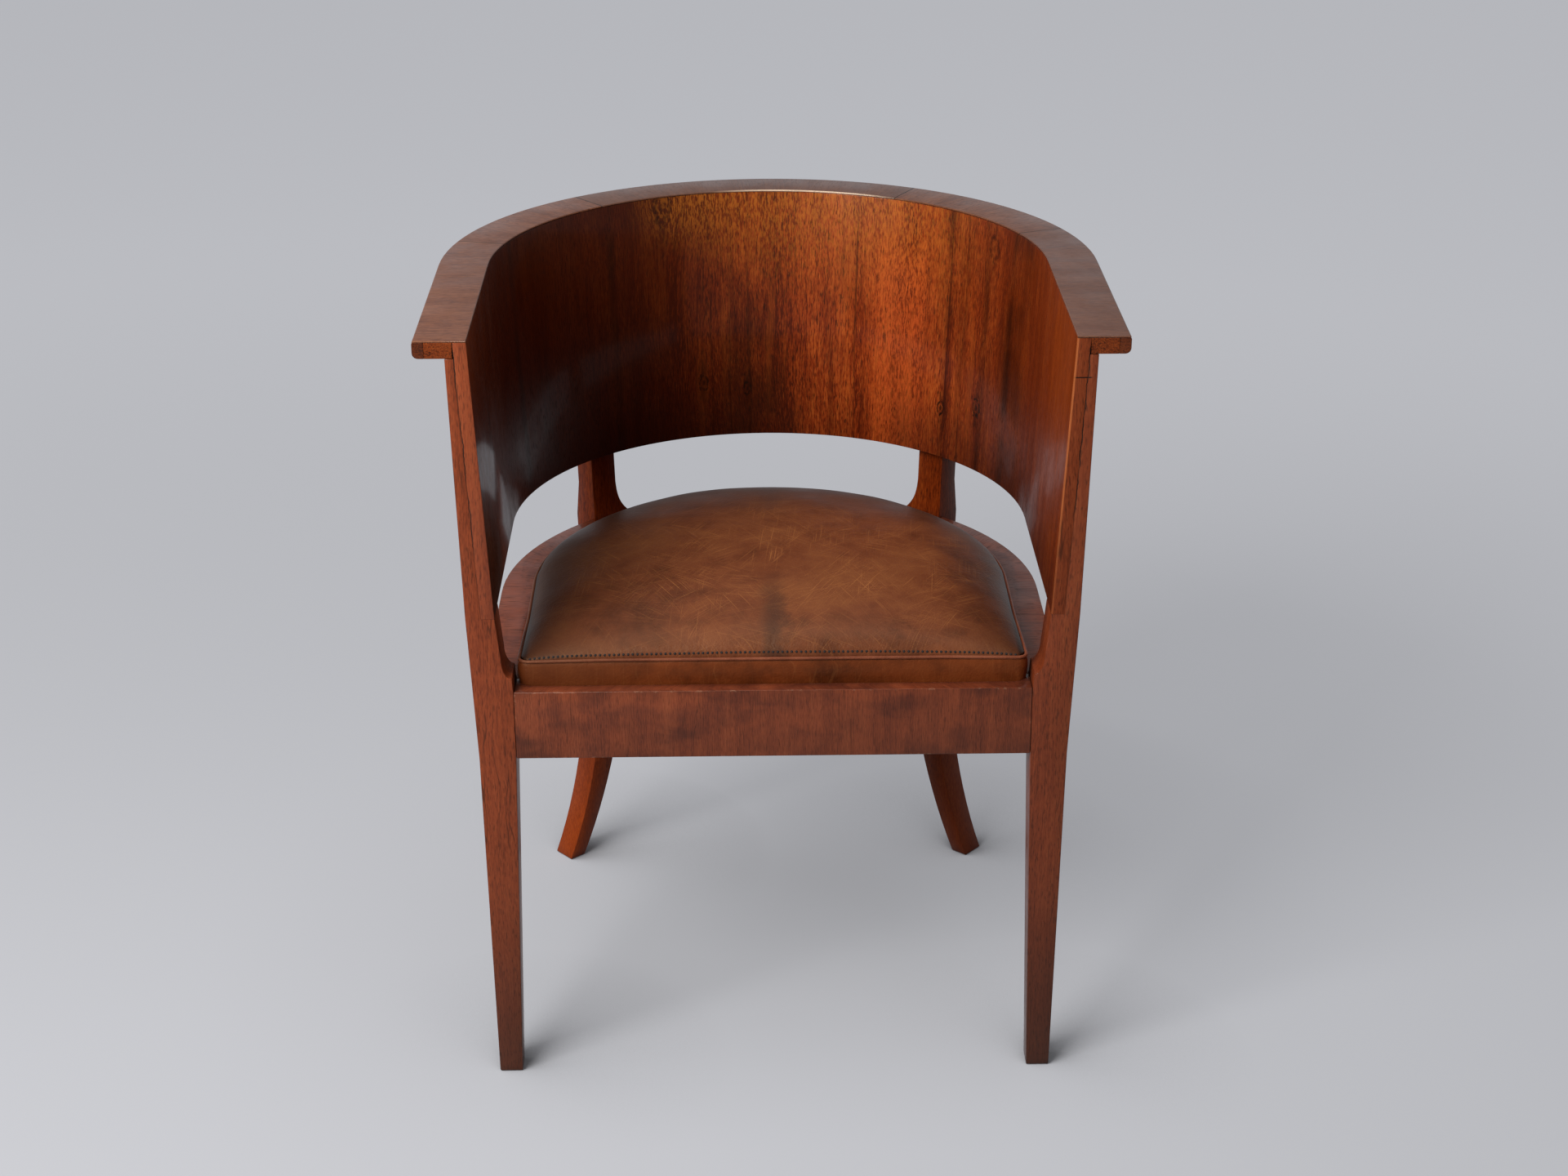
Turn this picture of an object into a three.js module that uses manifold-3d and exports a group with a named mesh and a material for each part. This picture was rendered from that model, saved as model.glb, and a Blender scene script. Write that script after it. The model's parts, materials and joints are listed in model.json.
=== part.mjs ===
// Armchair with a bent back shell, a flat arm and crest rail, and a lift-out leather seat.
// Millimetres, +Z up, the front towards -Y. The origin is on the floor under the middle of the plan.
import * as THREE from 'three';
import { mergeVertices } from 'three/addons/utils/BufferGeometryUtils.js';
import Module from 'manifold-3d';

const wasm = await Module();
wasm.setup();

// Overall sizes
const chairHeight = 730;
const outerReach = 305.5;
const armReach = 228;

// Fits between glued pieces, and how far a cutting shape runs past what it cuts
const fit = 0.3;
const overrun = 5;

// Arm and crest rail. Bearings are degrees from the middle of the back, to the right where positive.
const railWidth = 46.2;
const railThickness = 16;
const railVeneer = 1.4;
const lippingWidth = 10;
const lippingTopRound = 3;
const lippingFootRound = 5;
const crestJointBearing = 35;
const veneerSeamBearings = [-75, -39, 30, 69];
const crestTongueThickness = 4;
const crestTongueWidth = 14;
const crestTongueLength = 24;
const crestDowelDiameter = 8;
const crestDowelInLeg = 22;
const crestDowelInCore = 9;

// Back shell, which leans out from its foot to its top
const shellThickness = 12;
const shellAboveRail = 72;
const shellLean = 12.8;

// Front legs. Widths are at the seat rail, and the cheeks lie outside the shell's ends.
const legProud = 5.3;
const legWidth = 33.5;
const legDepth = 36;
const legFootDraw = 4.4;
const legFootWidth = 21.5;
const legFootDepth = 22;
const legEarSwell = 2.9;
const legEarAboveRail = 13;
const legEarInset = 0.8;
const legScoopInset = 9.7;
const legScoopAboveRail = 31;
const legShoulderCheek = 14;
const legTopCheek = 7.8;

// Rear legs, wider at the seat, and swept back and sideways below it
const rearLegBearing = 41;
const rearLegMargin = 8.7;
const rearLegWidth = 30;
const rearSeatWidth = 33;
const rearSeatDepth = 30;
const rearFootWidth = 18.5;
const rearFootDepth = 26;
const rearFlare = 13;
const rearFlareHeight = 36;
const rearSweepBack = 44;
const rearSweepSide = 29.5;
const legDowelDiameter = 9;
const legDowelInRail = 24;
const legDowelInLeg = 18;
const legDowelDrop = 42;
const legDowelMargin = 7;
const legDowelPitch = 26;

// Seat rails, housed for the rear legs. The border is their width beside the seat.
const seatRailTop = 400;
const seatRailDepth = 66;
const rearLegHousing = 6.1;
const seatRailBorder = 35;
const frontRailThickness = 30;
const seatLedge = 12;
const seatRebate = 12;
const tenonThickness = 12;
const tenonShoulder = 10;
const frontTenonLength = 18;
const sideTenonLength = 10;
const ringTongueThickness = 8;
const ringTongueWidth = 20;
const ringTongueLength = 24;
const ringTongueSetback = 15;
const ringTongueDrop = 24;

// Seat pad
const seatFront = 16;
const seatCurveForward = 34;
const seatCorner = 9;
const seatPlay = 1.5;
const seamAboveRail = 27;
const seatCrown = 33;
const seatSideBulge = 1.2;
const seatSeamDraw = 1.5;
const crownSteepness = 2.6;
const leather = 2;
const seatFrameThickness = 18;
const seatFrameWidth = 45;
const lapBearing = 48;
const lapTurn = 10;
const strapWidth = 50;
const strapThickness = 1.8;
const strapEndSetback = 16;
const strapEase = 3;
const strapRamp = 34;
const longStrapShares = [-0.46, 0, 0.46];
const crossStrapShares = [0.17, 0.435, 0.7];
const hessianThickness = 1.2;
const hessianSetback = 10;

// Corner blocks and screws
const blockTopDrop = 22;
const blockHeight = 28;
const frontBlockLeg = 58;
const frontBlockNose = 12;
const rearBlockTurn = 26;
const rearBlockDepth = 24;
const screwShank = 4;
const screwHead = 8;
const screwHeadHeight = 3;
const screwLength = 30;
const screwInRail = 20;
const screwPoint = 6;
const screwTip = 0.4;
const screwBore = 45;
const screwStagger = 7;

// Facets
const bendStep = 3;
const seatStep = 7.5;
const seatSideSteps = 4;
const seatFrontSteps = 6;
const cornerSteps = 3;
const roundSides = 12;
const crownShares = [0.16, 0.34, 0.5, 0.66, 0.8, 0.9, 0.97, 1];
const sweptLegShares = [0, 0.09, 0.18, 0.27, 0.36, 0.46, 0.58, 0.72, 0.86, 1];
const flareShares = [0, 0.2, 0.4, 0.6, 0.8, 1];

// Places that follow from the sizes
const frontY = -(armReach + outerReach) / 2;
const curveY = frontY + armReach;
const farAway = outerReach * 4;
const railFoot = chairHeight - railThickness;
const railCoreTop = chairHeight - railVeneer - fit;
const shellReach = outerReach - railWidth;
const shellFoot = seatRailTop + shellAboveRail;
const shellSlope = shellLean / (chairHeight - shellFoot);
const shellInner = (z) => shellReach - shellSlope * (chairHeight - z);
const shellOuter = (z) => shellInner(z) + shellThickness;
const coreReach = shellReach + shellThickness + fit;
const lippingReach = outerReach - lippingWidth;
const rearLegDepth = outerReach - rearLegMargin - shellOuter(railFoot) - fit;
const seatRailReach = shellOuter(seatRailTop) + rearLegHousing;
const seatRailFoot = seatRailTop - seatRailDepth;
const frontLegBackY = frontY + legDepth;
const legRailOuter = seatRailReach + legProud;
const legRailInner = legRailOuter - legWidth;
const seatReach = seatRailReach - seatRailBorder;
const seatCurveY = curveY - seatCurveForward;
const seatFrontY = frontY + seatFront;
const seatSeam = seatRailTop + seamAboveRail;
const seatBase = seatRailTop - seatRebate + fit;
const seatFrameTop = seatBase + seatFrameThickness;
const strapMiddle = seatFrameTop + fit + strapThickness + fit / 2;
const hessianFoot = strapMiddle + fit / 2 + strapThickness + fit;
const paddingFoot = hessianFoot + hessianThickness + fit;
const blockTop = seatRailTop - blockTopDrop;
const blockFoot = blockTop - blockHeight;
const ringInner = seatReach - seatLedge;

const finish = (color, roughness, metalness = 0) => (
  new THREE.MeshStandardMaterial({ color, roughness, metalness })
);
const mahogany = finish(0x6b2a14, 0.35);
const crossband = finish(0x7d4028, 0.3);
const beech = finish(0xb48a5a, 0.7);
const hide = finish(0x5c3419, 0.5);
const jute = finish(0xa98d5f, 0.95);
const horsehair = finish(0x4a3b2b, 1);
const steel = finish(0x8d8a84, 0.4, 1);

const chair = new THREE.Group();
const fixedFrame = new THREE.Group();
const liftOutSeat = new THREE.Group();
chair.add(fixedFrame, liftOutSeat);

const sides = [{ name: 'left', sign: -1 }, { name: 'right', sign: 1 }];
const degrees = (angle) => THREE.MathUtils.degToRad(angle);
const bearingOf = (length, reach) => THREE.MathUtils.radToDeg(length / reach);
const seamGap = bearingOf(fit / 2, shellReach);

function add(group, name, geometry, material) {
  const mesh = new THREE.Mesh(geometry, material);
  mesh.name = name;
  group.add(mesh);
}

// Solids from rings of points

function facing(ring, [a, b, c]) {
  const ab = new THREE.Vector3().subVectors(ring[b], ring[a]);
  const ac = new THREE.Vector3().subVectors(ring[c], ring[a]);
  return ab.cross(ac);
}

function ringNormal(ring) {
  return ring.reduce((sum, point, i) => {
    const next = ring[(i + 1) % ring.length];
    return sum.add(new THREE.Vector3().crossVectors(point, next));
  }, new THREE.Vector3());
}

// Triangles over a flat ring, turned the way that the ring runs
function capFaces(ring) {
  const normal = ringNormal(ring);
  const sizes = normal.toArray().map(Math.abs);
  const dropped = sizes.indexOf(Math.max(...sizes));
  const flat = ring.map((point) => {
    const [u, v] = point.toArray().filter((value, axis) => axis !== dropped);
    return new THREE.Vector2(u, v);
  });
  const faces = THREE.ShapeUtils.triangulateShape(flat, []);
  const along = faces.reduce((sum, face) => sum + facing(ring, face).dot(normal), 0);
  return along > 0 ? faces : faces.map(([a, b, c]) => [a, c, b]);
}

// Joins rings of equally many points. Open ends get flat caps, and a closed run joins its own start.
function loft(rings, closed = false) {
  const count = rings[0].length;
  const points = rings.flat();
  const faces = [];
  const runs = closed ? rings.length : rings.length - 1;
  for (let run = 0; run < runs; run += 1) {
    const here = run * count;
    const there = ((run + 1) % rings.length) * count;
    for (let i = 0; i < count; i += 1) {
      const next = (i + 1) % count;
      faces.push([here + i, here + next, there + next], [here + i, there + next, there + i]);
    }
  }
  if (!closed) {
    const last = points.length - count;
    capFaces(rings[0]).forEach(([a, b, c]) => faces.push([a, c, b]));
    capFaces(rings.at(-1)).forEach((face) => faces.push(face.map((i) => i + last)));
  }
  const volume = faces.reduce((sum, [a, b, c]) => (
    sum + points[a].dot(new THREE.Vector3().crossVectors(points[b], points[c]))
  ), 0);
  const geometry = new THREE.BufferGeometry();
  const values = points.flatMap((point) => point.toArray());
  geometry.setAttribute('position', new THREE.Float32BufferAttribute(values, 3));
  geometry.setIndex(faces.flatMap(([a, b, c]) => (volume > 0 ? [a, b, c] : [a, c, b])));
  return geometry;
}

// Cuts and joins

function toSolid(geometry) {
  const merged = mergeVertices(geometry.clone());
  return new wasm.Manifold(new wasm.Mesh({
    numProp: 3,
    vertProperties: Float32Array.from(merged.attributes.position.array),
    triVerts: Uint32Array.from(merged.index.array),
  }));
}

function toGeometry(solid) {
  const mesh = solid.getMesh();
  const geometry = new THREE.BufferGeometry();
  geometry.setAttribute('position', new THREE.Float32BufferAttribute(mesh.vertProperties, 3));
  geometry.setIndex(Array.from(mesh.triVerts));
  return geometry;
}

const cut = (base, ...tools) => (
  toGeometry(tools.reduce((solid, tool) => solid.subtract(toSolid(tool)), toSolid(base)))
);
const join = (base, ...others) => (
  toGeometry(others.reduce((solid, other) => solid.add(toSolid(other)), toSolid(base)))
);
const common = (base, other) => toGeometry(toSolid(base).intersect(toSolid(other)));

// Slabs: a plan outline between two heights, or a front or side outline between two planes

function slab(outline, foot, top) {
  return loft([foot, top].map((z) => outline.map(([x, y]) => new THREE.Vector3(x, y, z))));
}

function frontSlab(outline, front, back) {
  return loft([front, back].map((y) => outline.map(([x, z]) => new THREE.Vector3(x, y, z))));
}

function sideSlab(outline, from, to) {
  return loft([from, to].map((x) => outline.map(([y, z]) => new THREE.Vector3(x, y, z))));
}

function block(xs, ys, zs) {
  const [x0, x1] = xs;
  const [y0, y1] = ys;
  return slab([[x0, y0], [x1, y0], [x1, y1], [x0, y1]], zs[0], zs[1]);
}

const toSide = (sign, outline) => outline.map(([across, other]) => [sign * across, other]);

// Round bar along a line, from pairs of radius and place along it
function bar(from, to, profile) {
  const axis = new THREE.Vector3().subVectors(to, from).normalize();
  const turn = new THREE.Quaternion().setFromUnitVectors(new THREE.Vector3(0, 0, 1), axis);
  return loft(profile.map(([radius, along]) => {
    const ring = [];
    for (let i = 0; i < roundSides; i += 1) {
      const angle = (2 * Math.PI * i) / roundSides;
      const point = new THREE.Vector3(radius * Math.cos(angle), radius * Math.sin(angle), along);
      ring.push(point.applyQuaternion(turn).add(from));
    }
    return ring;
  }));
}

// A dowel between two points, or with clearance the hole for it
function dowel(from, to, diameter, clearance) {
  const length = from.distanceTo(to);
  const radius = diameter / 2 + clearance;
  return bar(from, to, [[radius, -clearance], [radius, length + clearance]]);
}

// A countersunk screw from its head, or with clearance the hole for it with its counterbore
function screw(from, to, clearance) {
  const shank = screwShank / 2 + clearance;
  const head = screwHead / 2 + clearance;
  const behind = clearance > 0 ? screwBore : 0;
  return bar(from, to, [
    [head, -behind],
    [head, clearance],
    [shank, screwHeadHeight + clearance],
    [shank, screwLength - screwPoint + clearance],
    [screwTip + clearance, screwLength + clearance],
  ]);
}

// The bend of the back. A station is a bearing on the curve or, with y, a place on a straight side.

const onCurve = (bearing) => ({ bearing });
const onSide = (sign, y) => ({ bearing: sign * 90, y });
const leftEnd = onSide(-1, frontY);
const rightEnd = onSide(1, frontY);

function bendPoint(reach, { bearing, y }) {
  const turn = degrees(bearing);
  return [reach * Math.sin(turn), y === undefined ? curveY + reach * Math.cos(turn) : y];
}

// A point near the bend, by its distance out from the middle and its distance across that line
function bendPlace(bearing, reach, across) {
  const turn = degrees(bearing);
  return [
    reach * Math.sin(turn) + across * Math.cos(turn),
    curveY + reach * Math.cos(turn) - across * Math.sin(turn),
  ];
}

function stations(from, to) {
  const tiny = bendStep / 1000;
  const list = from.y === undefined ? [from] : [from, onCurve(from.bearing)];
  const first = (Math.floor((from.bearing + tiny) / bendStep) + 1) * bendStep;
  for (let bearing = first; bearing < to.bearing - tiny; bearing += bendStep) {
    list.push(onCurve(bearing));
  }
  return to.y === undefined ? [...list, to] : [...list, onCurve(to.bearing), to];
}

// Sweeps a section, made of pairs of reach and height, along the bend
function sweep(section, from, to) {
  return loft(stations(from, to).map((station) => section.map(([reach, z]) => {
    const [x, y] = bendPoint(reach, station);
    return new THREE.Vector3(x, y, z);
  })));
}

// A box square to the bend at a bearing
function bendBox(bearing, reaches, length, heights) {
  const [inner, outer] = reaches;
  const half = length / 2;
  const outline = [[inner, -half], [inner, half], [outer, half], [outer, -half]];
  return slab(outline.map(([reach, across]) => bendPlace(bearing, reach, across)), ...heights);
}

// All that lies within a turn to either side of the middle of the back, seen from a centre
function wedge(centreY, turn, heights) {
  const x = farAway * Math.sin(degrees(turn));
  const y = centreY + farAway * Math.cos(degrees(turn));
  return slab([[0, centreY], [x, y], [0, centreY + farAway * 2], [-x, y]], ...heights);
}

const around = (middle, width, clearance) => [
  middle - width / 2 - clearance,
  middle + width / 2 + clearance,
];

// Back shell

function buildShell() {
  const section = [
    [shellInner(shellFoot), shellFoot],
    [shellOuter(shellFoot), shellFoot],
    [shellOuter(railCoreTop), railCoreTop],
    [shellInner(railCoreTop), railCoreTop],
  ];
  add(fixedFrame, 'back_shell', sweep(section, leftEnd, rightEnd), crossband);
}

// Arm and crest rail

function crestTongue(sign, clearance) {
  return bendBox(
    sign * crestJointBearing,
    around((coreReach + lippingReach) / 2, crestTongueWidth, clearance),
    crestTongueLength + clearance * 2,
    around((railFoot + railCoreTop) / 2, crestTongueThickness, clearance),
  );
}

function crestDowel(sign, clearance) {
  const [x, y] = bendPlace(sign * rearLegBearing, (coreReach + lippingReach) / 2, 0);
  const from = new THREE.Vector3(x, y, railFoot - crestDowelInLeg);
  const to = new THREE.Vector3(x, y, railFoot + crestDowelInCore);
  return dowel(from, to, crestDowelDiameter, clearance);
}

function buildCrest() {
  const coreSection = [
    [coreReach, railFoot],
    [lippingReach - fit, railFoot],
    [lippingReach - fit, railCoreTop],
    [coreReach, railCoreTop],
  ];
  const veneerEdge = outerReach - lippingTopRound;
  const lippingSection = [
    [lippingReach, railFoot],
    [outerReach - lippingFootRound, railFoot],
    [outerReach - lippingFootRound / 4, railFoot + lippingFootRound / 4],
    [outerReach, railFoot + lippingFootRound],
    [outerReach, chairHeight - lippingTopRound],
    [outerReach - lippingTopRound / 4, chairHeight - lippingTopRound / 4],
    [veneerEdge + fit, chairHeight],
    [veneerEdge + fit, railCoreTop],
    [lippingReach, railCoreTop],
  ];
  const leafSection = [
    [shellReach, chairHeight - railVeneer],
    [veneerEdge, chairHeight - railVeneer],
    [veneerEdge, chairHeight],
    [shellReach, chairHeight],
  ];
  const joint = crestJointBearing;
  const lengths = [
    { name: 'left', from: leftEnd, to: onCurve(-joint - seamGap) },
    { name: 'back', from: onCurve(-joint + seamGap), to: onCurve(joint - seamGap) },
    { name: 'right', from: onCurve(joint + seamGap), to: rightEnd },
  ];
  const holes = sides.flatMap(({ sign }) => [crestTongue(sign, fit), crestDowel(sign, fit)]);
  lengths.forEach(({ name, from, to }) => {
    add(fixedFrame, `crest_core_${name}`, cut(sweep(coreSection, from, to), ...holes), mahogany);
    add(fixedFrame, `crest_lipping_${name}`, sweep(lippingSection, from, to), mahogany);
  });
  sides.forEach(({ name, sign }) => {
    add(fixedFrame, `crest_tongue_${name}`, crestTongue(sign, 0), beech);
    add(fixedFrame, `crest_dowel_${name}`, crestDowel(sign, 0), beech);
  });
  const leaves = ['left_arm', 'left_bend', 'back', 'right_bend', 'right_arm'];
  leaves.forEach((leaf, i) => {
    const from = i === 0 ? leftEnd : onCurve(veneerSeamBearings[i - 1] + seamGap);
    const to = i === leaves.length - 1 ? rightEnd : onCurve(veneerSeamBearings[i] - seamGap);
    add(fixedFrame, `top_veneer_${leaf}`, sweep(leafSection, from, to), crossband);
  });
}

// Front legs

function frontLegOutline() {
  const shoulder = shellFoot - fit;
  const top = railFoot - fit;
  const ear = [legRailInner + legEarInset, seatRailTop + legEarAboveRail];
  const scoop = [legRailInner + legScoopInset, seatRailTop + legScoopAboveRail];
  return [
    [legRailOuter - legFootDraw - legFootWidth, 0],
    [legRailOuter - legFootDraw, 0],
    [legRailOuter, seatRailFoot],
    [legRailOuter + legEarSwell, seatRailTop],
    [shellOuter(shoulder) + legShoulderCheek, shoulder],
    [shellOuter(top) + legTopCheek, top],
    [shellOuter(top) + fit, top],
    [shellOuter(shoulder) + fit, shoulder],
    [shellInner(shoulder), shoulder],
    [(scoop[0] + shellInner(shoulder)) / 2, (scoop[1] + shoulder) / 2],
    scoop,
    [(scoop[0] * 2 + ear[0]) / 3, (scoop[1] + ear[1]) / 2],
    ear,
    [legRailInner, seatRailTop],
    [legRailInner, seatRailFoot],
  ];
}

function frontLegBody(sign) {
  const depthOutline = [
    [frontY - overrun, -overrun],
    [frontY + legFootDepth, -overrun],
    [frontY + legFootDepth, 0],
    [frontLegBackY, seatRailFoot],
    [frontLegBackY, chairHeight],
    [frontY - overrun, chairHeight],
  ];
  const face = frontSlab(toSide(sign, frontLegOutline()), frontY, frontLegBackY);
  return common(face, sideSlab(depthOutline, -outerReach, outerReach));
}

const tenonHeights = [seatRailFoot + tenonShoulder, seatBase - tenonShoulder];

function grown([low, high], clearance) {
  return [low - clearance, high + clearance];
}

function sideBlock(sign, inner, outer, ys, zs) {
  return block([Math.min(sign * inner, sign * outer), Math.max(sign * inner, sign * outer)], ys, zs);
}

function frontTenon(sign, clearance) {
  return sideBlock(
    sign,
    legRailInner - fit - overrun,
    legRailInner + frontTenonLength + clearance,
    around(frontY + frontRailThickness / 2, tenonThickness, clearance),
    grown(tenonHeights, clearance),
  );
}

function sideTenon(sign, clearance) {
  const [inner, outer] = around((legRailInner + seatRailReach) / 2, tenonThickness, clearance);
  return sideBlock(
    sign,
    inner,
    outer,
    [frontLegBackY - sideTenonLength - clearance, frontLegBackY + fit + overrun],
    grown(tenonHeights, clearance),
  );
}

function buildFrontLegs() {
  sides.forEach(({ name, sign }) => {
    const leg = cut(frontLegBody(sign), frontTenon(sign, fit), sideTenon(sign, fit));
    add(fixedFrame, `front_leg_${name}`, leg, mahogany);
  });
}

// Rear legs

// The four corners of a rear leg at a height. Its inner face follows the outside of the shell.
function rearLegRing(sign, z, clearance) {
  const below = Math.max(0, 1 - z / seatRailFoot);
  const above = THREE.MathUtils.clamp((z - seatRailTop) / rearFlareHeight, 0, 1);
  const { lerp } = THREE.MathUtils;
  const width = lerp(lerp(rearSeatWidth, rearLegWidth, above), rearFootWidth, below);
  const depth = lerp(lerp(rearSeatDepth, rearLegDepth, above), rearFootDepth, below);
  const flare = rearFlare * (1 - Math.max(above, below)) ** 2;
  const inner = shellOuter(z) + fit + rearSweepBack * below ** 2;
  const away = rearLegWidth / 2 + rearSweepSide * below ** 3;
  const reaches = grown([inner, inner + depth], clearance);
  const across = grown([away - width - flare, away], clearance);
  const corners = [
    [reaches[0], across[1]],
    [reaches[1], across[1]],
    [reaches[1], across[0]],
    [reaches[0], across[0]],
  ];
  return corners.map(([reach, side]) => {
    const [x, y] = bendPlace(sign * rearLegBearing, reach, sign * side);
    return new THREE.Vector3(x, y, z);
  });
}

function rearLegBody(sign, clearance) {
  const heights = [
    ...sweptLegShares.map((share) => share * seatRailFoot),
    ...flareShares.map((share) => seatRailTop + share * rearFlareHeight),
    railFoot - fit,
  ];
  return loft(heights.map((z) => rearLegRing(sign, z, clearance)));
}

function legDowels(sign, clearance) {
  const z = seatRailTop - legDowelDrop;
  const outer = rearLegWidth / 2 - legDowelMargin;
  return [outer, outer - legDowelPitch].map((side) => {
    const place = (reach) => new THREE.Vector3(
      ...bendPlace(sign * rearLegBearing, shellOuter(z) + reach, sign * side),
      z,
    );
    return dowel(place(-legDowelInRail), place(legDowelInLeg), legDowelDiameter, clearance);
  });
}

function buildRearLegs() {
  sides.forEach(({ name, sign }) => {
    const leg = cut(rearLegBody(sign, 0), crestDowel(sign, fit), ...legDowels(sign, fit));
    add(fixedFrame, `rear_leg_${name}`, leg, mahogany);
    const [outer, inner] = legDowels(sign, 0);
    add(fixedFrame, `leg_dowel_side_rail_${name}`, outer, beech);
    add(fixedFrame, `leg_dowel_back_rail_${name}`, inner, beech);
  });
}

// Outline of the seat pad in plan, drawn in by an inset
function seatOutline(inset) {
  const reach = seatReach - inset;
  const front = seatFrontY + inset;
  const corner = Math.max(seatCorner - inset, fit);
  const points = [];
  const arc = (x, y, radius, fromTurn, toTurn, steps) => {
    for (let i = 0; i <= steps; i += 1) {
      const turn = degrees(THREE.MathUtils.lerp(fromTurn, toTurn, i / steps));
      points.push([x + radius * Math.cos(turn), y + radius * Math.sin(turn)]);
    }
  };
  const straight = (from, to, steps) => {
    for (let i = 1; i < steps; i += 1) {
      const { lerp } = THREE.MathUtils;
      points.push([lerp(from[0], to[0], i / steps), lerp(from[1], to[1], i / steps)]);
    }
  };
  const shoulder = front + corner;
  const flat = reach - corner;
  straight([-flat, front], [flat, front], seatFrontSteps);
  arc(flat, shoulder, corner, -90, 0, cornerSteps);
  straight([reach, shoulder], [reach, seatCurveY], seatSideSteps);
  arc(0, seatCurveY, reach, 0, 180, 180 / seatStep);
  straight([-reach, seatCurveY], [-reach, shoulder], seatSideSteps);
  arc(-flat, shoulder, corner, -180, -90, cornerSteps);
  return points;
}

// Seat rails

function ringTongue(sign, clearance) {
  const outer = shellOuter(seatRailFoot) - ringTongueSetback;
  const top = seatRailTop - ringTongueDrop;
  return bendBox(
    sign * rearLegBearing,
    grown([outer - ringTongueWidth, outer], clearance),
    ringTongueLength + clearance * 2,
    grown([top - ringTongueThickness, top], clearance),
  );
}

// Screws of the corner blocks on one side, from their heads towards the rail that they hold
function blockScrews(sign) {
  const middle = blockFoot + blockHeight / 2;
  const back = frontY + frontRailThickness;
  const spread = frontBlockLeg / 2;
  const behind = screwLength - screwInRail;
  const high = middle + screwStagger;
  const low = middle - screwStagger;
  const point = (x, y, z) => new THREE.Vector3(sign * x, y, z);
  const round = (turn, reach) => point(
    reach * Math.sin(degrees(turn)),
    seatCurveY + reach * Math.cos(degrees(turn)),
    middle,
  );
  const across = ringInner - spread;
  const rear = [-1, 1].map((end) => rearLegBearing + (end * rearBlockTurn) / 3);
  return [
    { name: 'front_rail', from: point(across, back + behind, high), to: point(across, frontY, high) },
    {
      name: 'front_side',
      from: point(ringInner - behind, back + spread, low),
      to: point(outerReach, back + spread, low),
    },
    { name: 'rear_back', from: round(rear[0], ringInner - behind), to: round(rear[0], outerReach) },
    { name: 'rear_side', from: round(rear[1], ringInner - behind), to: round(rear[1], outerReach) },
  ];
}

const blockHoles = (sign) => blockScrews(sign).map(({ from, to }) => screw(from, to, fit));

function buildSeatRails() {
  const ringFront = frontY + frontRailThickness + fit;
  const railHeights = [seatRailFoot, seatRailTop];
  const cutHeights = [seatRailFoot - overrun, seatRailTop + overrun];
  const outline = stations(onSide(-1, ringFront), onSide(1, ringFront)).map((station) => (
    bendPoint(seatRailReach, station)
  ));
  const rebate = slab(seatOutline(-seatPlay), seatRailTop - seatRebate, seatRailTop + overrun);
  const holes = sides.flatMap(({ sign }) => blockHoles(sign));
  const ring = cut(
    slab(outline, ...railHeights),
    slab(seatOutline(seatLedge), ...cutHeights),
    rebate,
    ...holes,
    ...sides.flatMap(({ sign }) => [
      rearLegBody(sign, fit),
      ringTongue(sign, fit),
      ...legDowels(sign, fit),
    ]),
  );
  const jointGap = bearingOf(fit / 2, ringInner);
  const back = common(ring, wedge(curveY, rearLegBearing - jointGap, cutHeights));
  add(fixedFrame, 'seat_rail_back', back, mahogany);
  sides.forEach(({ name, sign }) => {
    const half = sideBlock(sign, 0, farAway, [frontY - overrun, farAway], cutHeights);
    const legSpace = sideBlock(
      sign,
      legRailInner - fit,
      farAway,
      [frontY - overrun, frontLegBackY + fit],
      cutHeights,
    );
    const side = cut(common(ring, half), wedge(curveY, rearLegBearing + jointGap, cutHeights), legSpace);
    add(fixedFrame, `seat_rail_${name}`, join(side, sideTenon(sign, 0)), mahogany);
    add(fixedFrame, `seat_rail_tongue_${name}`, ringTongue(sign, 0), beech);
  });
  const inner = legRailInner - fit;
  const bare = block([-inner, inner], [frontY, frontY + frontRailThickness], railHeights);
  const front = join(cut(bare, rebate, ...holes), frontTenon(-1, 0), frontTenon(1, 0));
  add(fixedFrame, 'seat_rail_front', front, mahogany);
}

// Corner blocks

function buildBlocks() {
  const back = frontY + frontRailThickness + fit * 2;
  const side = ringInner - fit;
  const frontOutline = [
    [side, back],
    [side, back + frontBlockLeg],
    [side - frontBlockNose, back + frontBlockLeg],
    [side - frontBlockLeg, back + frontBlockNose],
    [side - frontBlockLeg, back],
  ];
  const rearPoint = (reach, share) => {
    const turn = degrees(rearLegBearing + rearBlockTurn * (share - 1 / 2));
    return [reach * Math.sin(turn), seatCurveY + reach * Math.cos(turn)];
  };
  const rearOutline = [];
  for (let i = 0; i <= cornerSteps * 2; i += 1) {
    rearOutline.push(rearPoint(side - fit, i / (cornerSteps * 2)));
  }
  rearOutline.push(rearPoint(side - rearBlockDepth, 1), rearPoint(side - rearBlockDepth, 0));
  sides.forEach(({ name, sign }) => {
    const holes = blockHoles(sign);
    const front = cut(slab(toSide(sign, frontOutline), blockFoot, blockTop), ...holes);
    const rear = cut(slab(toSide(sign, rearOutline), blockFoot, blockTop), ...holes);
    add(fixedFrame, `corner_block_front_${name}`, front, beech);
    add(fixedFrame, `corner_block_rear_${name}`, rear, beech);
    blockScrews(sign).forEach(({ name: place, from, to }) => {
      add(fixedFrame, `block_screw_${place}_${name}`, screw(from, to, 0), steel);
    });
  });
}

// Frame of the lift-out seat. Its front and back lie on the sides in half laps.

const frameInset = leather + fit;
const frameInnerInset = frameInset + seatFrameWidth;

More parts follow.
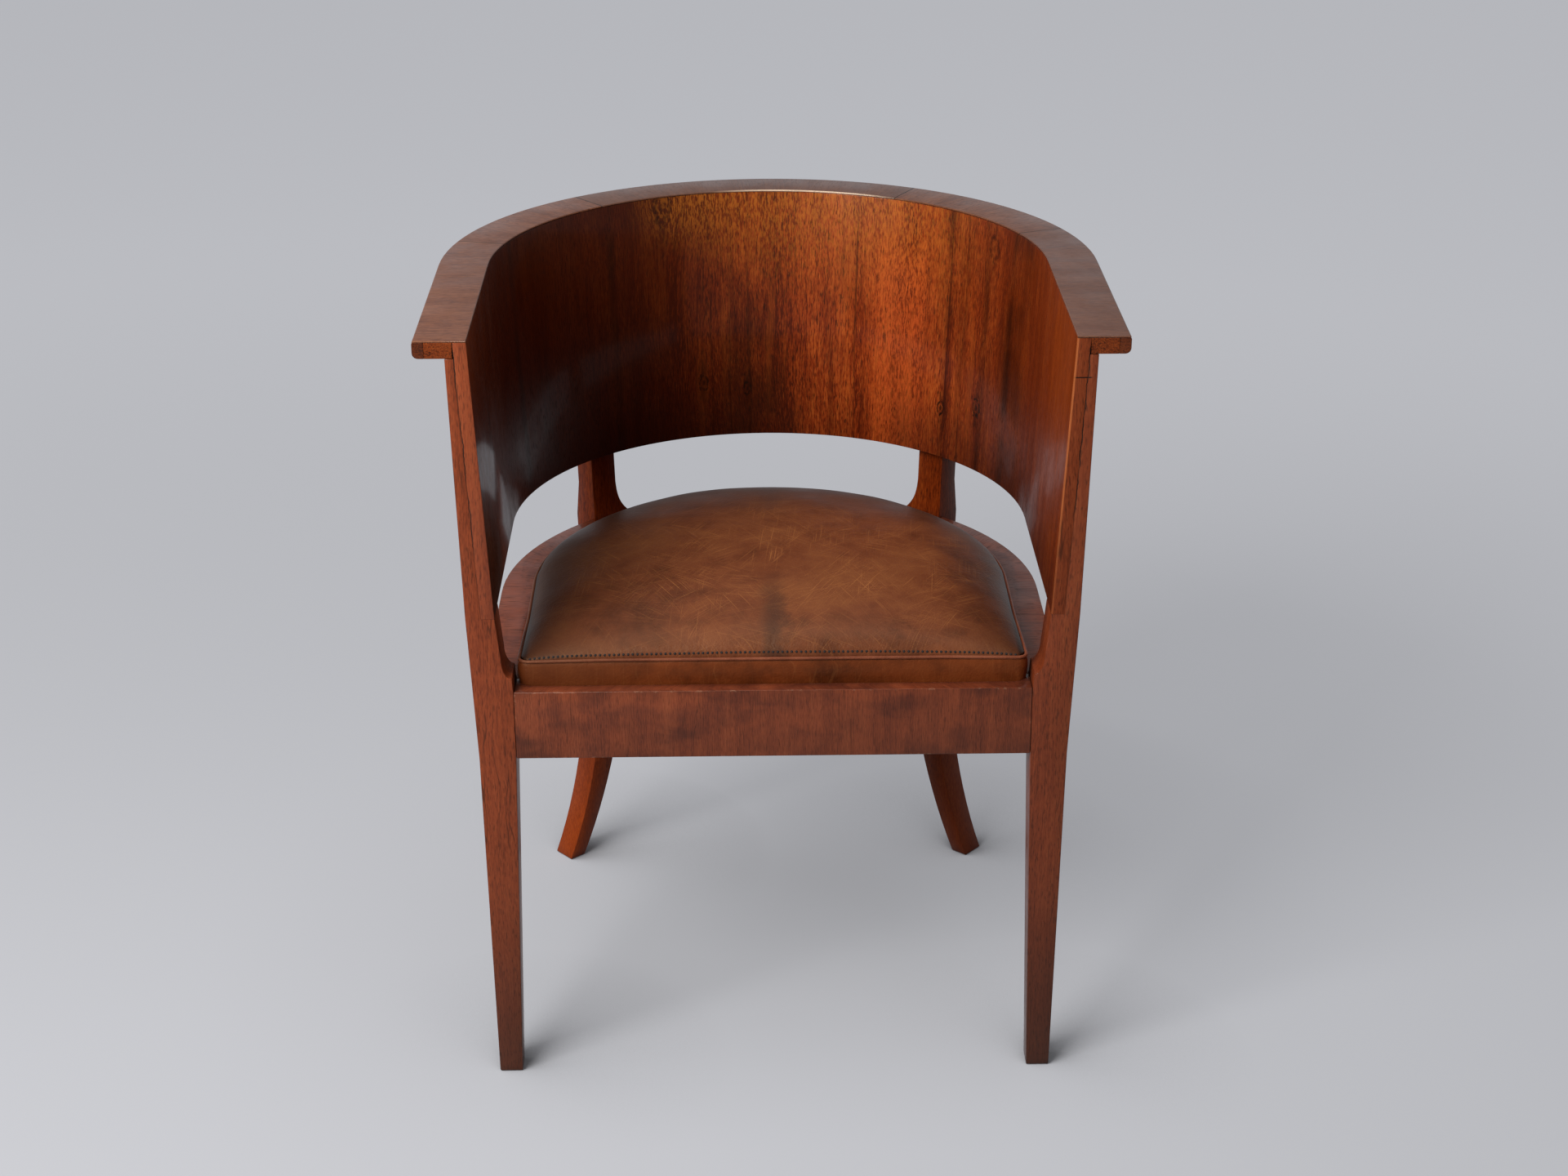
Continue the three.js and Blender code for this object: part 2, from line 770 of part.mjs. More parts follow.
function buildSeatFrame() {
  const foot = seatBase - overrun;
  const top = seatFrameTop + overrun;
  const lap = seatBase + seatFrameThickness / 2 + fit / 2;
  const frontLine = seatFrontY + frameInnerInset;
  const frontHalf = seatReach - frameInnerInset;
  const ring = cut(
    slab(seatOutline(frameInset), seatBase, seatFrameTop),
    slab(seatOutline(frameInnerInset), foot, top),
  );
  const frontSpace = (clearance) => [
    block(
      grown([-frontHalf, frontHalf], clearance),
      [frontY, frontLine + clearance],
      [foot, top],
    ),
    block([-farAway, farAway], [frontY, frontLine + clearance], [lap - clearance, top]),
  ];
  const backSpace = (clearance) => {
    const gap = bearingOf(clearance, seatReach - frameInnerInset);
    return [
      wedge(seatCurveY, lapBearing - lapTurn + gap, [foot, top]),
      wedge(seatCurveY, lapBearing + gap, [lap - clearance, top]),
    ];
  };
  const filled = ([whole, upper]) => join(common(ring, whole), common(ring, upper));
  add(liftOutSeat, 'seat_frame_front', filled(frontSpace(0)), beech);
  add(liftOutSeat, 'seat_frame_back', filled(backSpace(0)), beech);
  sides.forEach(({ name, sign }) => {
    const half = sideBlock(sign, 0, farAway, [frontY, farAway], [foot, top]);
    const side = cut(common(ring, half), ...frontSpace(fit), ...backSpace(fit));
    add(liftOutSeat, `seat_frame_${name}`, side, beech);
  });
}

// Webbing. A strap dips under one strap and rides over the next.

function strapProfile(from, to, crossings, startsHigh) {
  const low = seatFrameTop + fit;
  const high = strapMiddle + fit / 2;
  const foot = [[from, low]];
  crossings.forEach((middle, i) => {
    const level = (i % 2 === 0) === startsHigh ? high : low;
    const [start, end] = around(middle, strapWidth, strapEase);
    if (i === 0) {
      foot.push([start - strapRamp, low]);
    }
    foot.push([start, level], [end, level]);
    if (i === crossings.length - 1) {
      foot.push([end + strapRamp, low]);
    }
  });
  foot.push([to, low]);
  const top = foot.map(([along, z]) => [along, z + strapThickness]);
  return [...foot, ...top.reverse()];
}

function buildWebbing() {
  const reach = seatReach - frameInset - strapEndSetback;
  const frontEnd = seatFrontY + frameInset + strapEndSetback;
  const innerReach = seatReach - frameInnerInset;
  const innerFront = seatFrontY + frameInnerInset;
  const innerLength = seatCurveY + innerReach - innerFront;
  const longPlaces = longStrapShares.map((share) => share * innerReach);
  const crossPlaces = crossStrapShares.map((share) => innerFront + share * innerLength);
  const halfAt = (offset) => Math.sqrt(reach ** 2 - Math.max(0, offset) ** 2);
  longPlaces.forEach((x, i) => {
    const backEnd = seatCurveY + halfAt(Math.abs(x) + strapWidth / 2);
    const profile = strapProfile(frontEnd, backEnd, crossPlaces, i % 2 === 0);
    const strap = sideSlab(profile, ...around(x, strapWidth, 0));
    add(liftOutSeat, `webbing_long_${i + 1}`, strap, jute);
  });
  crossPlaces.forEach((y, i) => {
    const half = halfAt(y + strapWidth / 2 - seatCurveY);
    const profile = strapProfile(-half, half, longPlaces, i % 2 !== 0);
    const strap = frontSlab(profile, ...around(y, strapWidth, 0));
    add(liftOutSeat, `webbing_cross_${i + 1}`, strap, jute);
  });
  const hessian = slab(
    seatOutline(frameInset + hessianSetback),
    hessianFoot,
    hessianFoot + hessianThickness,
  );
  add(liftOutSeat, 'seat_hessian', hessian, jute);
}

// Stuffing and leather. The crown rises from the seam to the middle of the seat.

const seatMiddleY = (seatFrontY + seatCurveY + seatReach) / 2;

function crownRing(inset, share, drop) {
  const z = seatSeam + seatCrown * (1 - share ** crownSteepness) - drop;
  return seatOutline(inset).map(([x, y]) => new THREE.Vector3(
    x * share,
    seatMiddleY + (y - seatMiddleY) * share,
    z,
  ));
}

const levelRing = (inset, z) => seatOutline(inset).map(([x, y]) => new THREE.Vector3(x, y, z));

function buildCover() {
  const face = crownShares.map((share) => crownRing(seatSeamDraw, share, 0));
  const flesh = crownShares.map((share) => crownRing(seatSeamDraw, share, leather));
  add(liftOutSeat, 'leather_top', loft([...face, ...flesh.reverse()]), hide);
  const seamFoot = seatSeam - leather - fit;
  const middle = (seatRailTop + seamFoot) / 2;
  const outer = [[0, seatBase], [0, seatRailTop], [-seatSideBulge, middle], [seatSeamDraw, seamFoot]];
  const inner = [
    [seatSeamDraw + leather, seamFoot],
    [leather, seatFrameTop + fit],
    [leather, seatBase],
  ];
  const boxing = loft([...outer, ...inner].map(([inset, z]) => levelRing(inset, z)), true);
  add(liftOutSeat, 'leather_boxing', boxing, hide);
  const fill = seatSeamDraw + leather + fit;
  const crown = crownShares.map((share) => crownRing(fill, share, leather + fit));
  add(liftOutSeat, 'seat_padding', loft([...crown, levelRing(fill, paddingFoot)]), horsehair);
}

buildShell();
buildCrest();
buildFrontLegs();
buildRearLegs();
buildSeatRails();
buildBlocks();
buildSeatFrame();
buildWebbing();
buildCover();

export default chair;
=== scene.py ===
# A curved-back armchair in polished mahogany with a lift-out leather seat.
# Metres, +Z up, the front of the chair towards -Y.
import json
import math

import bmesh
import bpy
from mathutils import Matrix, Vector, noise

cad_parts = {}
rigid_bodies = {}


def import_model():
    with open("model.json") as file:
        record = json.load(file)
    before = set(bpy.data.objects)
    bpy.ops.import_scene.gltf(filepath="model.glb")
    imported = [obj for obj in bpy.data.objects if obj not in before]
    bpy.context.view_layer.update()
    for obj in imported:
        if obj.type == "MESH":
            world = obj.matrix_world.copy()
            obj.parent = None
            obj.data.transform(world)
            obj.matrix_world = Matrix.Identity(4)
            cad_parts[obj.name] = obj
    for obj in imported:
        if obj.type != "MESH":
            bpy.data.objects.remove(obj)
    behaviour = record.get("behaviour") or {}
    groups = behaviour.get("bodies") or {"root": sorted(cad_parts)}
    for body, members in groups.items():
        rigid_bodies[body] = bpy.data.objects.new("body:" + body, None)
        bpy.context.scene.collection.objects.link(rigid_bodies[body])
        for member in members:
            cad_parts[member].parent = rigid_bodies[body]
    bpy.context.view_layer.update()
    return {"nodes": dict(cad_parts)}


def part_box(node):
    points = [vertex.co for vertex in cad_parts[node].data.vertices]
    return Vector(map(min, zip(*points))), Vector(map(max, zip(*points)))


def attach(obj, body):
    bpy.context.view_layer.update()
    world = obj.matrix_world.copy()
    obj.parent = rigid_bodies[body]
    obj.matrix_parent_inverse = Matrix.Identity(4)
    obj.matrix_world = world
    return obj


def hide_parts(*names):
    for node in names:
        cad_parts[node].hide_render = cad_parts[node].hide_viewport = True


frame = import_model()

MM = 0.001
SIDES = (("left", -1), ("right", 1))

# Places read from the frame
OUTER_REACH = -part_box("crest_lipping_left")[0].x
FRONT_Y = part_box("crest_lipping_left")[0].y
CURVE_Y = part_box("crest_lipping_back")[1].y - OUTER_REACH
RAIL_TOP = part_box("top_veneer_back")[1].z
LEAF_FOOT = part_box("top_veneer_back")[0].z
CORE_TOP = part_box("crest_core_back")[1].z
CORE_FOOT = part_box("crest_core_back")[0].z
SHELL_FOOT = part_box("back_shell")[0].z
SHELL_SIDE = -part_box("back_shell")[0].x
SHELL_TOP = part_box("back_shell")[1].z
SEAT_RAIL_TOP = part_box("seat_rail_back")[1].z
SEAT_RAIL_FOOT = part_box("seat_rail_back")[0].z
SEAT_RAIL_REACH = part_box("seat_rail_back")[1].y - CURVE_Y
SEAT_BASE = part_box("leather_boxing")[0].z
SEAT_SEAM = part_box("leather_top")[0].z - 1.2 * MM
CROWN_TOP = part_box("leather_top")[1].z + 4.2 * MM
SEAT_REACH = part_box("seat_frame_front")[1].x + 2.3 * MM
SEAT_FRONT_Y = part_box("seat_frame_front")[0].y - 2.3 * MM

# Sizes of the joinery
FIT = 0.3 * MM
GLUE_LINE = 0.08 * MM
SHELL_THICKNESS = 12 * MM
SHELL_LEAN = 12.8 * MM
SHELL_SLOPE = SHELL_LEAN / (RAIL_TOP - SHELL_FOOT)
SHELL_REACH = SHELL_SIDE - SHELL_THICKNESS + SHELL_SLOPE * (RAIL_TOP - SHELL_TOP)
LIPPING_WIDTH = 10 * MM
LIPPING_TOP_ROUND = 1.5 * MM
LIPPING_FOOT_ROUND = 5 * MM
LEAF_SETBACK = 0.4 * MM
CREST_JOINT = 35
LEAF_SEAMS = (-75, -39, 30, 69)
LEAF_SMOKE = (0.1, 0, 0.55, 0.15, 0.45)
ARRIS = 0.9 * MM
FINE_ARRIS = 0.3 * MM
LEAF_ARRIS = 0.2 * MM
SEAT_RAIL_ARRIS = 0.7 * MM
SEAT_FRAME_ARRIS = 0.8 * MM
BLOCK_ARRIS = 1 * MM
SEAT_CURVE_Y = CURVE_Y - 34 * MM
SEAT_CORNER = 9 * MM
BEND_STEP = 3

# The photograph's camera
CAMERA_PLACE = (-0.03076, -2.4029, 1.4229)
CAMERA_DOWN = 23.3678
CAMERA_TURN = 1.0798
CAMERA_ROLL = -0.0974
CAMERA_LENS = 60.63
CAMERA_SENSOR = 36


def linear(red, green, blue):
    """A colour written as 0 to 255 on a screen, as the light that it stands for."""
    def channel(value):
        share = value / 255
        return share / 12.92 if share <= 0.04045 else ((share + 0.055) / 1.055) ** 2.4
    return (channel(red), channel(green), channel(blue), 1)


# Camera and light

def make_camera():
    data = bpy.data.cameras.new("camera")
    data.sensor_fit = "HORIZONTAL"
    data.sensor_width = CAMERA_SENSOR
    data.lens = CAMERA_LENS
    camera = bpy.data.objects.new("camera", data)
    bpy.context.scene.collection.objects.link(camera)
    turn = Matrix.Rotation(-math.radians(CAMERA_TURN), 4, "Z")
    tilt = Matrix.Rotation(math.radians(90 - CAMERA_DOWN), 4, "X")
    roll = Matrix.Rotation(math.radians(CAMERA_ROLL), 4, "Z")
    camera.matrix_world = Matrix.Translation(CAMERA_PLACE) @ turn @ tilt @ roll
    bpy.context.scene.camera = camera


def make_light(name, kind, place, target, power, colour):
    """Adds a lamp that points from its place to a target."""
    data = bpy.data.lights.new(name, kind)
    data.energy = power
    data.color = colour
    light = bpy.data.objects.new(name, data)
    bpy.context.scene.collection.objects.link(light)
    aim = (Vector(target) - Vector(place)).to_track_quat("-Z", "Y").to_matrix().to_4x4()
    light.matrix_world = Matrix.Translation(place) @ aim
    return data


def make_lights():
    key = make_light("key", "AREA", (-1.5, -1.8, 2.1), (0, -0.05, 0.4), 90, (1, 0.99, 0.97))
    key.shape = "RECTANGLE"
    key.size = key.size_y = 1.5
    tilt = math.radians(2)
    source = (0, -math.sin(tilt), math.cos(tilt))
    overhead = make_light("overhead", "SUN", source, (0, 0, 0), 0.8, (0.97, 0.985, 1))
    overhead.angle = math.radians(44)


# Helpers for node trees

class Flow:
    """A value that runs through a node tree, so that its sums read as sums."""

    def __init__(self, socket):
        self.socket = socket
        self.tree = socket.id_data

    def __add__(self, other):
        return maths("ADD", self, other)

    def __sub__(self, other):
        return maths("SUBTRACT", self, other)

    def __mul__(self, other):
        return maths("MULTIPLY", self, other)

    def __truediv__(self, other):
        return maths("DIVIDE", self, other)

    def __gt__(self, other):
        return maths("GREATER_THAN", self, other)

    def __abs__(self):
        return maths("ABSOLUTE", self)


def fill(made, inputs):
    """Links or sets a node's inputs."""
    for name, value in inputs.items():
        if isinstance(value, Flow):
            made.id_data.links.new(value.socket, made.inputs[name])
        else:
            made.inputs[name].default_value = value


def put(tree, kind, inputs=None, output=0, **settings):
    """Adds a node, sets its properties, fills its inputs and gives one of its outputs."""
    made = tree.nodes.new("ShaderNode" + kind)
    for name, value in settings.items():
        setattr(made, name, value)
    fill(made, inputs or {})
    return Flow(made.outputs[output])


def tree_of(values):
    return next(value.tree for value in values if isinstance(value, Flow))


def maths(operation, *values, clamp=False):
    return put(tree_of(values), "Math", dict(enumerate(values)), operation=operation, use_clamp=clamp)


def most(first, *others):
    """The greatest of several values."""
    for other in others:
        first = maths("MAXIMUM", other, first)
    return first


def root(value):
    return maths("SQRT", value)


def spread(value, low, high, to_low=0.0, to_high=1.0):
    """Eases a value from one range to another."""
    inputs = {"Value": value, "From Min": low, "From Max": high, "To Min": to_low, "To Max": to_high}
    return put(value.tree, "MapRange", inputs, interpolation_type="SMOOTHSTEP")


def joined(*values):
    return put(tree_of(values), "CombineXYZ", dict(enumerate(values)))


def split(vector):
    made = put(vector.tree, "SeparateXYZ", {0: vector}).socket.node
    return [Flow(output) for output in made.outputs]


def stretched(vector, scale):
    return put(vector.tree, "VectorMath", {0: vector, 1: scale}, operation="MULTIPLY")


def shifted(vector, offset):
    return put(vector.tree, "VectorMath", {0: vector, 1: offset}, operation="ADD")


def cloud(vector, scale, detail=2.0, roughness=0.5, distortion=0.0):
    """Noise over a vector that is stretched first."""
    inputs = {"Vector": stretched(vector, scale), "Scale": 1.0, "Detail": detail,
              "Roughness": roughness, "Distortion": distortion}
    return put(vector.tree, "TexNoise", inputs)


def mixed(share, first, second):
    inputs = {0: share, 6: first, 7: second}
    return put(tree_of((share, first)), "Mix", inputs, 2, data_type="RGBA")


def bumped(height, strength, distance):
    inputs = {"Height": height, "Strength": strength, "Distance": distance}
    return put(height.tree, "Bump", inputs)


def object_place(tree):
    return put(tree, "TexCoord", output="Object")


def kept(tree, name, output="Fac"):
    """A value that the modelling has stored on the mesh."""
    return put(tree, "Attribute", output=output, attribute_name=name)


def new_group(name, inputs, outputs):
    """A node group with named sockets. Each is a label and a kind, and inputs have a value too."""
    tree = bpy.data.node_groups.new(name, "ShaderNodeTree")
    for label, kind, value in inputs:
        socket = tree.interface.new_socket(label, in_out="INPUT", socket_type="NodeSocket" + kind)
        if value is not None:
            socket.default_value = value
    for label, kind in outputs:
        tree.interface.new_socket(label, in_out="OUTPUT", socket_type="NodeSocket" + kind)
    entry = tree.nodes.new("NodeGroupInput").outputs
    given = {label: Flow(entry[label]) for label, kind, value in inputs}
    return tree, given, tree.nodes.new("NodeGroupOutput")


def use_group(tree, group, inputs=None):
    made = tree.nodes.new("ShaderNodeGroup")
    made.node_tree = group
    fill(made, inputs or {})
    return {output.name: Flow(output) for output in made.outputs}


# Effects that several finishes share

PORE_BROWN = (0.012, 0.003, 0.001, 1)


def make_grain_group():
    """Wood. The third axis of Grain runs along the fibres."""
    tree, given, out = new_group("mahogany grain", [
        ("Grain", "Vector", None),
        ("Seed", "Float", 0.0),
        ("Dark", "Color", (0, 0, 0, 1)),
        ("Middle", "Color", (0, 0, 0, 1)),
        ("Light", "Color", (0, 0, 0, 1)),
        ("Stripe", "Float", 1.0),
        ("Fibre", "Float", 1.0),
        ("Mottle", "Float", 0.5),
        ("Patch", "Vector", (24, 24, 15)),
        ("Pores", "Float", 0.6),
        ("Cracks", "Float", 0.0),
    ], [("Color", "Color"), ("Height", "Float"), ("Pore", "Float")])
    seed = given["Seed"]
    moved = shifted(given["Grain"], joined(seed * 0.371, seed * 0.173, seed * 0.633))
    lean = (cloud(moved, (8, 8, 3.4)) - 0.5) * 0.022
    place = shifted(moved, joined(lean, lean))
    bands = cloud(place, (34, 34, 1.2), 3)
    fibres = cloud(place, (620, 620, 20), 3, 0.6)
    flakes = cloud(place, (800, 800, 150), 2, 0.55, 0.3)
    tone = (bands - 0.5) * given["Stripe"]
    tone = (fibres - 0.5) * given["Fibre"] + tone
    tone = (flakes - 0.5) * given["Fibre"] + tone
    tone = maths("ADD", tone, 0.5, clamp=True)
    colour = mixed(spread(tone, 0.2, 0.55), given["Dark"], given["Middle"])
    colour = mixed(spread(tone, 0.45, 0.8), colour, given["Light"])
    threads = spread(cloud(place, (210, 210, 7)), 0.25, 0.6, 0.7, 1)
    cloudy = spread(cloud(moved, given["Patch"], 3, 0.5, 0.4), 0.36, 0.76)
    colour = mixed(cloudy * threads * given["Mottle"], colour, given["Dark"])
    specks = spread(cloud(place, (1000, 1000, 120), 1, 0.4), 0.56, 0.69)
    crack = spread(abs(cloud(place, (60, 60, 7), 2, 0.6) - 0.5), 0.014, 0.003)
    opened = spread(cloud(moved, (21, 21, 9), 1), 0.56, 0.62)
    pore = most(crack * opened * given["Cracks"], specks * given["Pores"])
    fill(out, {
        "Color": mixed(pore, colour, mixed(0.78, colour, PORE_BROWN)),
        "Height": fibres * 0.5 - pore,
        "Pore": pore,
    })
    return tree


def make_handling_group():
    """Where edges are rubbed, and where grime and painted shade gather in corners."""
    tree, given, out = new_group("handling", [
        ("Radius", "Float", 2.5 * MM),
        ("Reach", "Float", 14 * MM),
    ], [("Edge", "Float"), ("Grime And Shade", "Float")])
    plain = put(tree, "NewGeometry", output="Normal")
    rounded = put(tree, "Bevel", {"Radius": given["Radius"]}, samples=4)
    along = put(tree, "VectorMath", {0: plain, 1: rounded}, "Value", operation="DOT_PRODUCT")
    held = put(tree, "AmbientOcclusion", {"Distance": given["Reach"]}, "AO", samples=4)
    fill(out, {"Edge": spread(along, 0.99, 0.86), "Grime And Shade": spread(held, 0.75, 0.25)})
    return tree


def make_knot_group():
    """How far a knot pushes the fibres aside, and how dark it is: a pupil in a ring, with smears."""
    tree, given, out = new_group("knot", [
        ("Across", "Float", 0.0),
        ("Along", "Float", 0.0),
        ("Knot Across", "Float", 0.0),
        ("Knot Along", "Float", 0.0),
        ("Size", "Float", 5 * MM),
    ], [("Push", "Float"), ("Dark", "Float")])
    side = (given["Across"] - given["Knot Across"]) / given["Size"]
    rise = (given["Along"] - given["Knot Along"]) / given["Size"]
    square = side * side * 0.2 + rise * rise * 0.03
    fade = maths("POWER", math.e, square * -1)
    place = joined(given["Across"], 0, given["Along"])
    rough = cloud(place, (190, 190, 150), 3, 0.6) - 0.5
    worn = spread(cloud(place, (260, 260, 170)), 0.34, 0.56, 0.3, 1)
    low = rise * 0.58
    near = rough * 1.5 + root(side * side + low * low)
    pupil = spread(near, 0.5, 0.2, 0, 0.85)
    body = spread(near, 1.2, 0.7, 0, 0.4)
    ring = spread(abs(near - 0.95), 0.42, 0.12) * worn
    smear = spread(abs(side), 1.1, 0.1, 0, 0.6) * spread(abs(rise), 7, 1.8) * spread(near, 0.9, 1.2)
    fill(out, {"Push": side * fade * given["Size"] * -0.6, "Dark": most(pupil, ring, smear, body)})
    return tree


def on_front(y):
    """Marks the faces that look straight to the front."""
    return spread(y, FRONT_Y + 1.2 * MM, FRONT_Y + 0.7 * MM)


def inner_face(z):
    """How far out the shell's inner face stands at a height."""
    return (z - RAIL_TOP) * SHELL_SLOPE + SHELL_REACH


def outer_face(z):
    return inner_face(z) + SHELL_THICKNESS


SHORT_CRACK_Z = CORE_FOOT - 21 * MM


def make_shake_group():
    """A crack that wanders along the joint between the shell's end and the post, and a short level
    one near the top of the right end."""
    tree, given, out = new_group("shake", [("Width", "Float", 0.7 * MM)], [("Dark", "Float")])
    x, y, z = split(object_place(tree))
    height = joined(maths("SIGN", x), 0, z)
    wander = cloud(height, (3, 3, 34), 3, 0.6) - 0.5
    joint = outer_face(z)
    off = abs(wander * (8 * MM) + (abs(x) - joint))
    line = spread(off, given["Width"], given["Width"] * 0.3)
    opened = spread(cloud(height, (9, 9, 26)), 0.4, 0.52, 0.25, 1)
    line = line * opened * spread(z, 0.5, 0.57)
    level = abs(wander * (5 * MM) + (z - SHORT_CRACK_Z))
    split_open = spread(level, 0.9 * MM, 0.3 * MM) * spread(x - joint, 5 * MM, 2 * MM) * (x > 0)
    fill(out, {"Dark": most(line, split_open) * on_front(y)})
    return tree


GRAIN = make_grain_group()
HANDLING = make_handling_group()
KNOT = make_knot_group()
SHAKE = make_shake_group()


# Finishes

def new_material(name):
    material = bpy.data.materials.new(name)
    material.use_nodes = True
    tree = material.node_tree
    tree.nodes.clear()
    output = tree.nodes.new("ShaderNodeOutputMaterial")
    shader = tree.nodes.new("ShaderNodeBsdfPrincipled")
    tree.links.new(shader.outputs[0], output.inputs["Surface"])
    return material, tree, shader


SHEEN_TINT = (1, 0.8, 0.55, 1)
GRIME_AND_SHADE_BLACK = (0.016, 0.006, 0.004, 1)
RUBBED_BLACK = (0.02, 0.007, 0.004, 1)
BARE_WOOD = linear(170, 130, 104)
CRACK_BLACK = linear(26, 10, 6)


def polish(tree, shader, colour, made, roughness, coat, coat_roughness=0.08, gloss=0.22, wear=0.3,
           chips=0.0):
    """Finishes wood: darker rubbed edges, grime and painted shade in the corners, pores in the polish."""
    marks = use_group(tree, HANDLING)
    place = object_place(tree)
    # Painted shade with grime: the corners that the occlusion finds are darkened.
    colour = mixed(marks["Grime And Shade"] * 0.5, colour, GRIME_AND_SHADE_BLACK)
    patchy = spread(cloud(place, (70, 70, 70)), 0.35, 0.6)
    colour = mixed(marks["Edge"] * wear * patchy, colour, RUBBED_BLACK)
    if chips:
        broken = spread(cloud(place, (190, 190, 190)), 0.57, 0.63)
        colour = mixed(marks["Edge"] * broken * chips, colour, BARE_WOOD)
    dull = spread(cloud(place, (18, 18, 11), 3, 0.6), 0.3, 0.7, roughness * 0.8, roughness * 1.35)
    fill(shader, {
        "Base Color": colour,
        "Roughness": made["Pore"] * 0.25 + dull,
        "Normal": bumped(made["Height"], 0.12, 0.3 * MM),
        "Coat Weight": coat,
        "Coat Roughness": coat_roughness,
        "Specular IOR Level": gloss,
        "Specular Tint": SHEEN_TINT,
    })


def grown(tree, place, tones, stripe, fibre, mottle, pores, cracks=0.0, patch=(24, 24, 15), seed=0.0):
    """Places the grain in a material, in its dark, middle and light tones."""
    dark, middle, light = tones
    return use_group(tree, GRAIN, {
        "Grain": place, "Seed": seed, "Dark": linear(*dark), "Middle": linear(*middle),
        "Light": linear(*light), "Stripe": stripe, "Fibre": fibre, "Mottle": mottle,
        "Patch": patch, "Pores": pores, "Cracks": cracks,
    })


def veneer_leaves(tree, colour):
    """The rail's leaves: smoky patches, dark seams and a painted highlight on the inner arris in the
    middle.
    """
    colour = mixed(kept(tree, "smoke"), colour, linear(84, 58, 48))
    x, y, z = split(object_place(tree))
    behind = y - CURVE_Y
    bearing = maths("ARCTAN2", x, behind)
    for seam in LEAF_SEAMS:
        off = abs(bearing - math.radians(seam))
        colour = mixed(spread(off, 0.0042, 0.0018, 0, 0.75), colour, linear(34, 18, 12))
    # Painted highlight along the inner arris, a little right of the middle of the back.
    lip = spread(root(x * x + behind * behind), SHELL_REACH + 1.6 * MM, SHELL_REACH + 0.8 * MM)
    lip = lip * spread(abs(bearing - math.radians(9)), 0.4, 0.16, 0, 0.8)
    return mixed(lip, colour, linear(236, 206, 178))


def wood(name, tones, stripe=0.8, fibre=0.7, mottle=0.3, patch=(24, 24, 15), pores=0.6, cracks=0.0,
         foot=0.0, foot_lighting_colour=(46, 24, 17), leaves=False, shake=False, roughness=0.42, coat=0.25,
         **more):
    material, tree, shader = new_material(name)
    made = grown(tree, kept(tree, "grain", "Vector"), tones, stripe, fibre, mottle, pores, cracks, patch)
    colour = made["Color"]
    # Painted light and shade towards the foot: the front legs darken there, the rear ones turn a lit
    # orange.
    if foot:
        height = split(object_place(tree))[2]
        colour = mixed(spread(height, 0.26, 0.0) * foot, colour, linear(*foot_lighting_colour))
    if shake:
        colour = mixed(use_group(tree, SHAKE)["Dark"], colour, CRACK_BLACK)
    if leaves:
        colour = veneer_leaves(tree, colour)
    polish(tree, shader, colour, made, roughness, coat, **more)
    return material


LEG_TONES = ((89, 34, 14), (133, 58, 28), (153, 75, 39))
# The right leg's tones are darkened: painted shade, where the light falls off towards the right.
SHADED_LEG_TONES = ((80, 31, 13), (121, 52, 25), (140, 69, 36))
LEG_LOOK = {"stripe": 0.5, "fibre": 0.45, "mottle": 0.2, "cracks": 0.8, "foot": 0.68, "shake": True,
            "coat": 0.26}
LEG_WOOD = {
    "left": wood("left leg mahogany", LEG_TONES, **LEG_LOOK),
    "right": wood("right leg mahogany, painted shade", SHADED_LEG_TONES, **LEG_LOOK),
}
REAR_LEG_WOOD = wood("rear leg mahogany", ((74, 23, 5), (118, 44, 11), (142, 62, 18)), stripe=0.6,
                     pores=0.5, foot=0.34, foot_lighting_colour=(184, 76, 15), coat=0.11, gloss=0.1)
RAIL_WOOD = wood("rail mahogany", ((76, 27, 8), (124, 53, 18), (146, 71, 28)), pores=0.9, cracks=0.8,
                 coat=0.14, gloss=0.12)
LIPPING_WOOD = wood("rail edge mahogany", ((56, 21, 8), (92, 39, 16), (116, 55, 24)), pores=0.9,
                    coat=0.18, gloss=0.16)
RAIL_LEAF = wood("rail veneer", ((86, 46, 30), (119, 69, 44), (138, 86, 57)), stripe=0.6, fibre=0.9,
                 patch=(40, 40, 12), pores=0.35, leaves=True, roughness=0.4, coat=0.34, wear=0.2)
SEAT_RAIL_WOOD = wood("seat rail veneer", ((62, 26, 20), (124, 58, 34), (142, 74, 45)), stripe=0.4,
                      fibre=0.45, mottle=0.8, patch=(8, 8, 38), cracks=0.6, chips=0.8)
INNER_WOOD = wood("bare inner wood", ((140, 100, 62), (172, 130, 86), (196, 158, 112)), stripe=0.7,
                  mottle=0.1, pores=0.25, roughness=0.75, coat=0.0)


VENEER_TONES = ((86, 26, 9), (144, 54, 18), (176, 82, 31))
SHELL_SEAMS = (-65, -37, 21.5, 46)
# Dark streaks in the veneer: bearing, width in millimetres and strength
STREAKS = ((-72, 9, 0.5), (-37, 8, 0.6), (-13, 2.2, 0.4), (-8.5, 1.8, 0.45), (-4, 2.4, 0.5),
           (21.5, 1.4, 0.6), (46, 7, 0.6), (51, 1.6, 0.55), (58, 8, 0.5), (68, 11, 0.6))
# Distance across the veneer, height and half width in millimetres, and darkness
KNOTS = ((-68, 531, 4.6, 0.85), (-20, 522, 4, 0.85), (205, 524, 4.4, 1), (258, 537, 5.2, 1),
         (-108, 718, 9, 0.6), (270, 704, 7, 0.6))
# Broad dark bands: bearing, half width in millimetres, strength, and the heights between which each
# comes in
BANDS = ((-3, 56, 0.66, 0.65, 0.57), (47, 30, 0.5, 0.57, 0.64), (72, 44, 0.56, 0.4, 0.41))
WARM_BEARING = 33


def across(bearing):
    """Distance along the veneer from the middle of the back to a bearing."""
    return SHELL_REACH * math.radians(bearing)


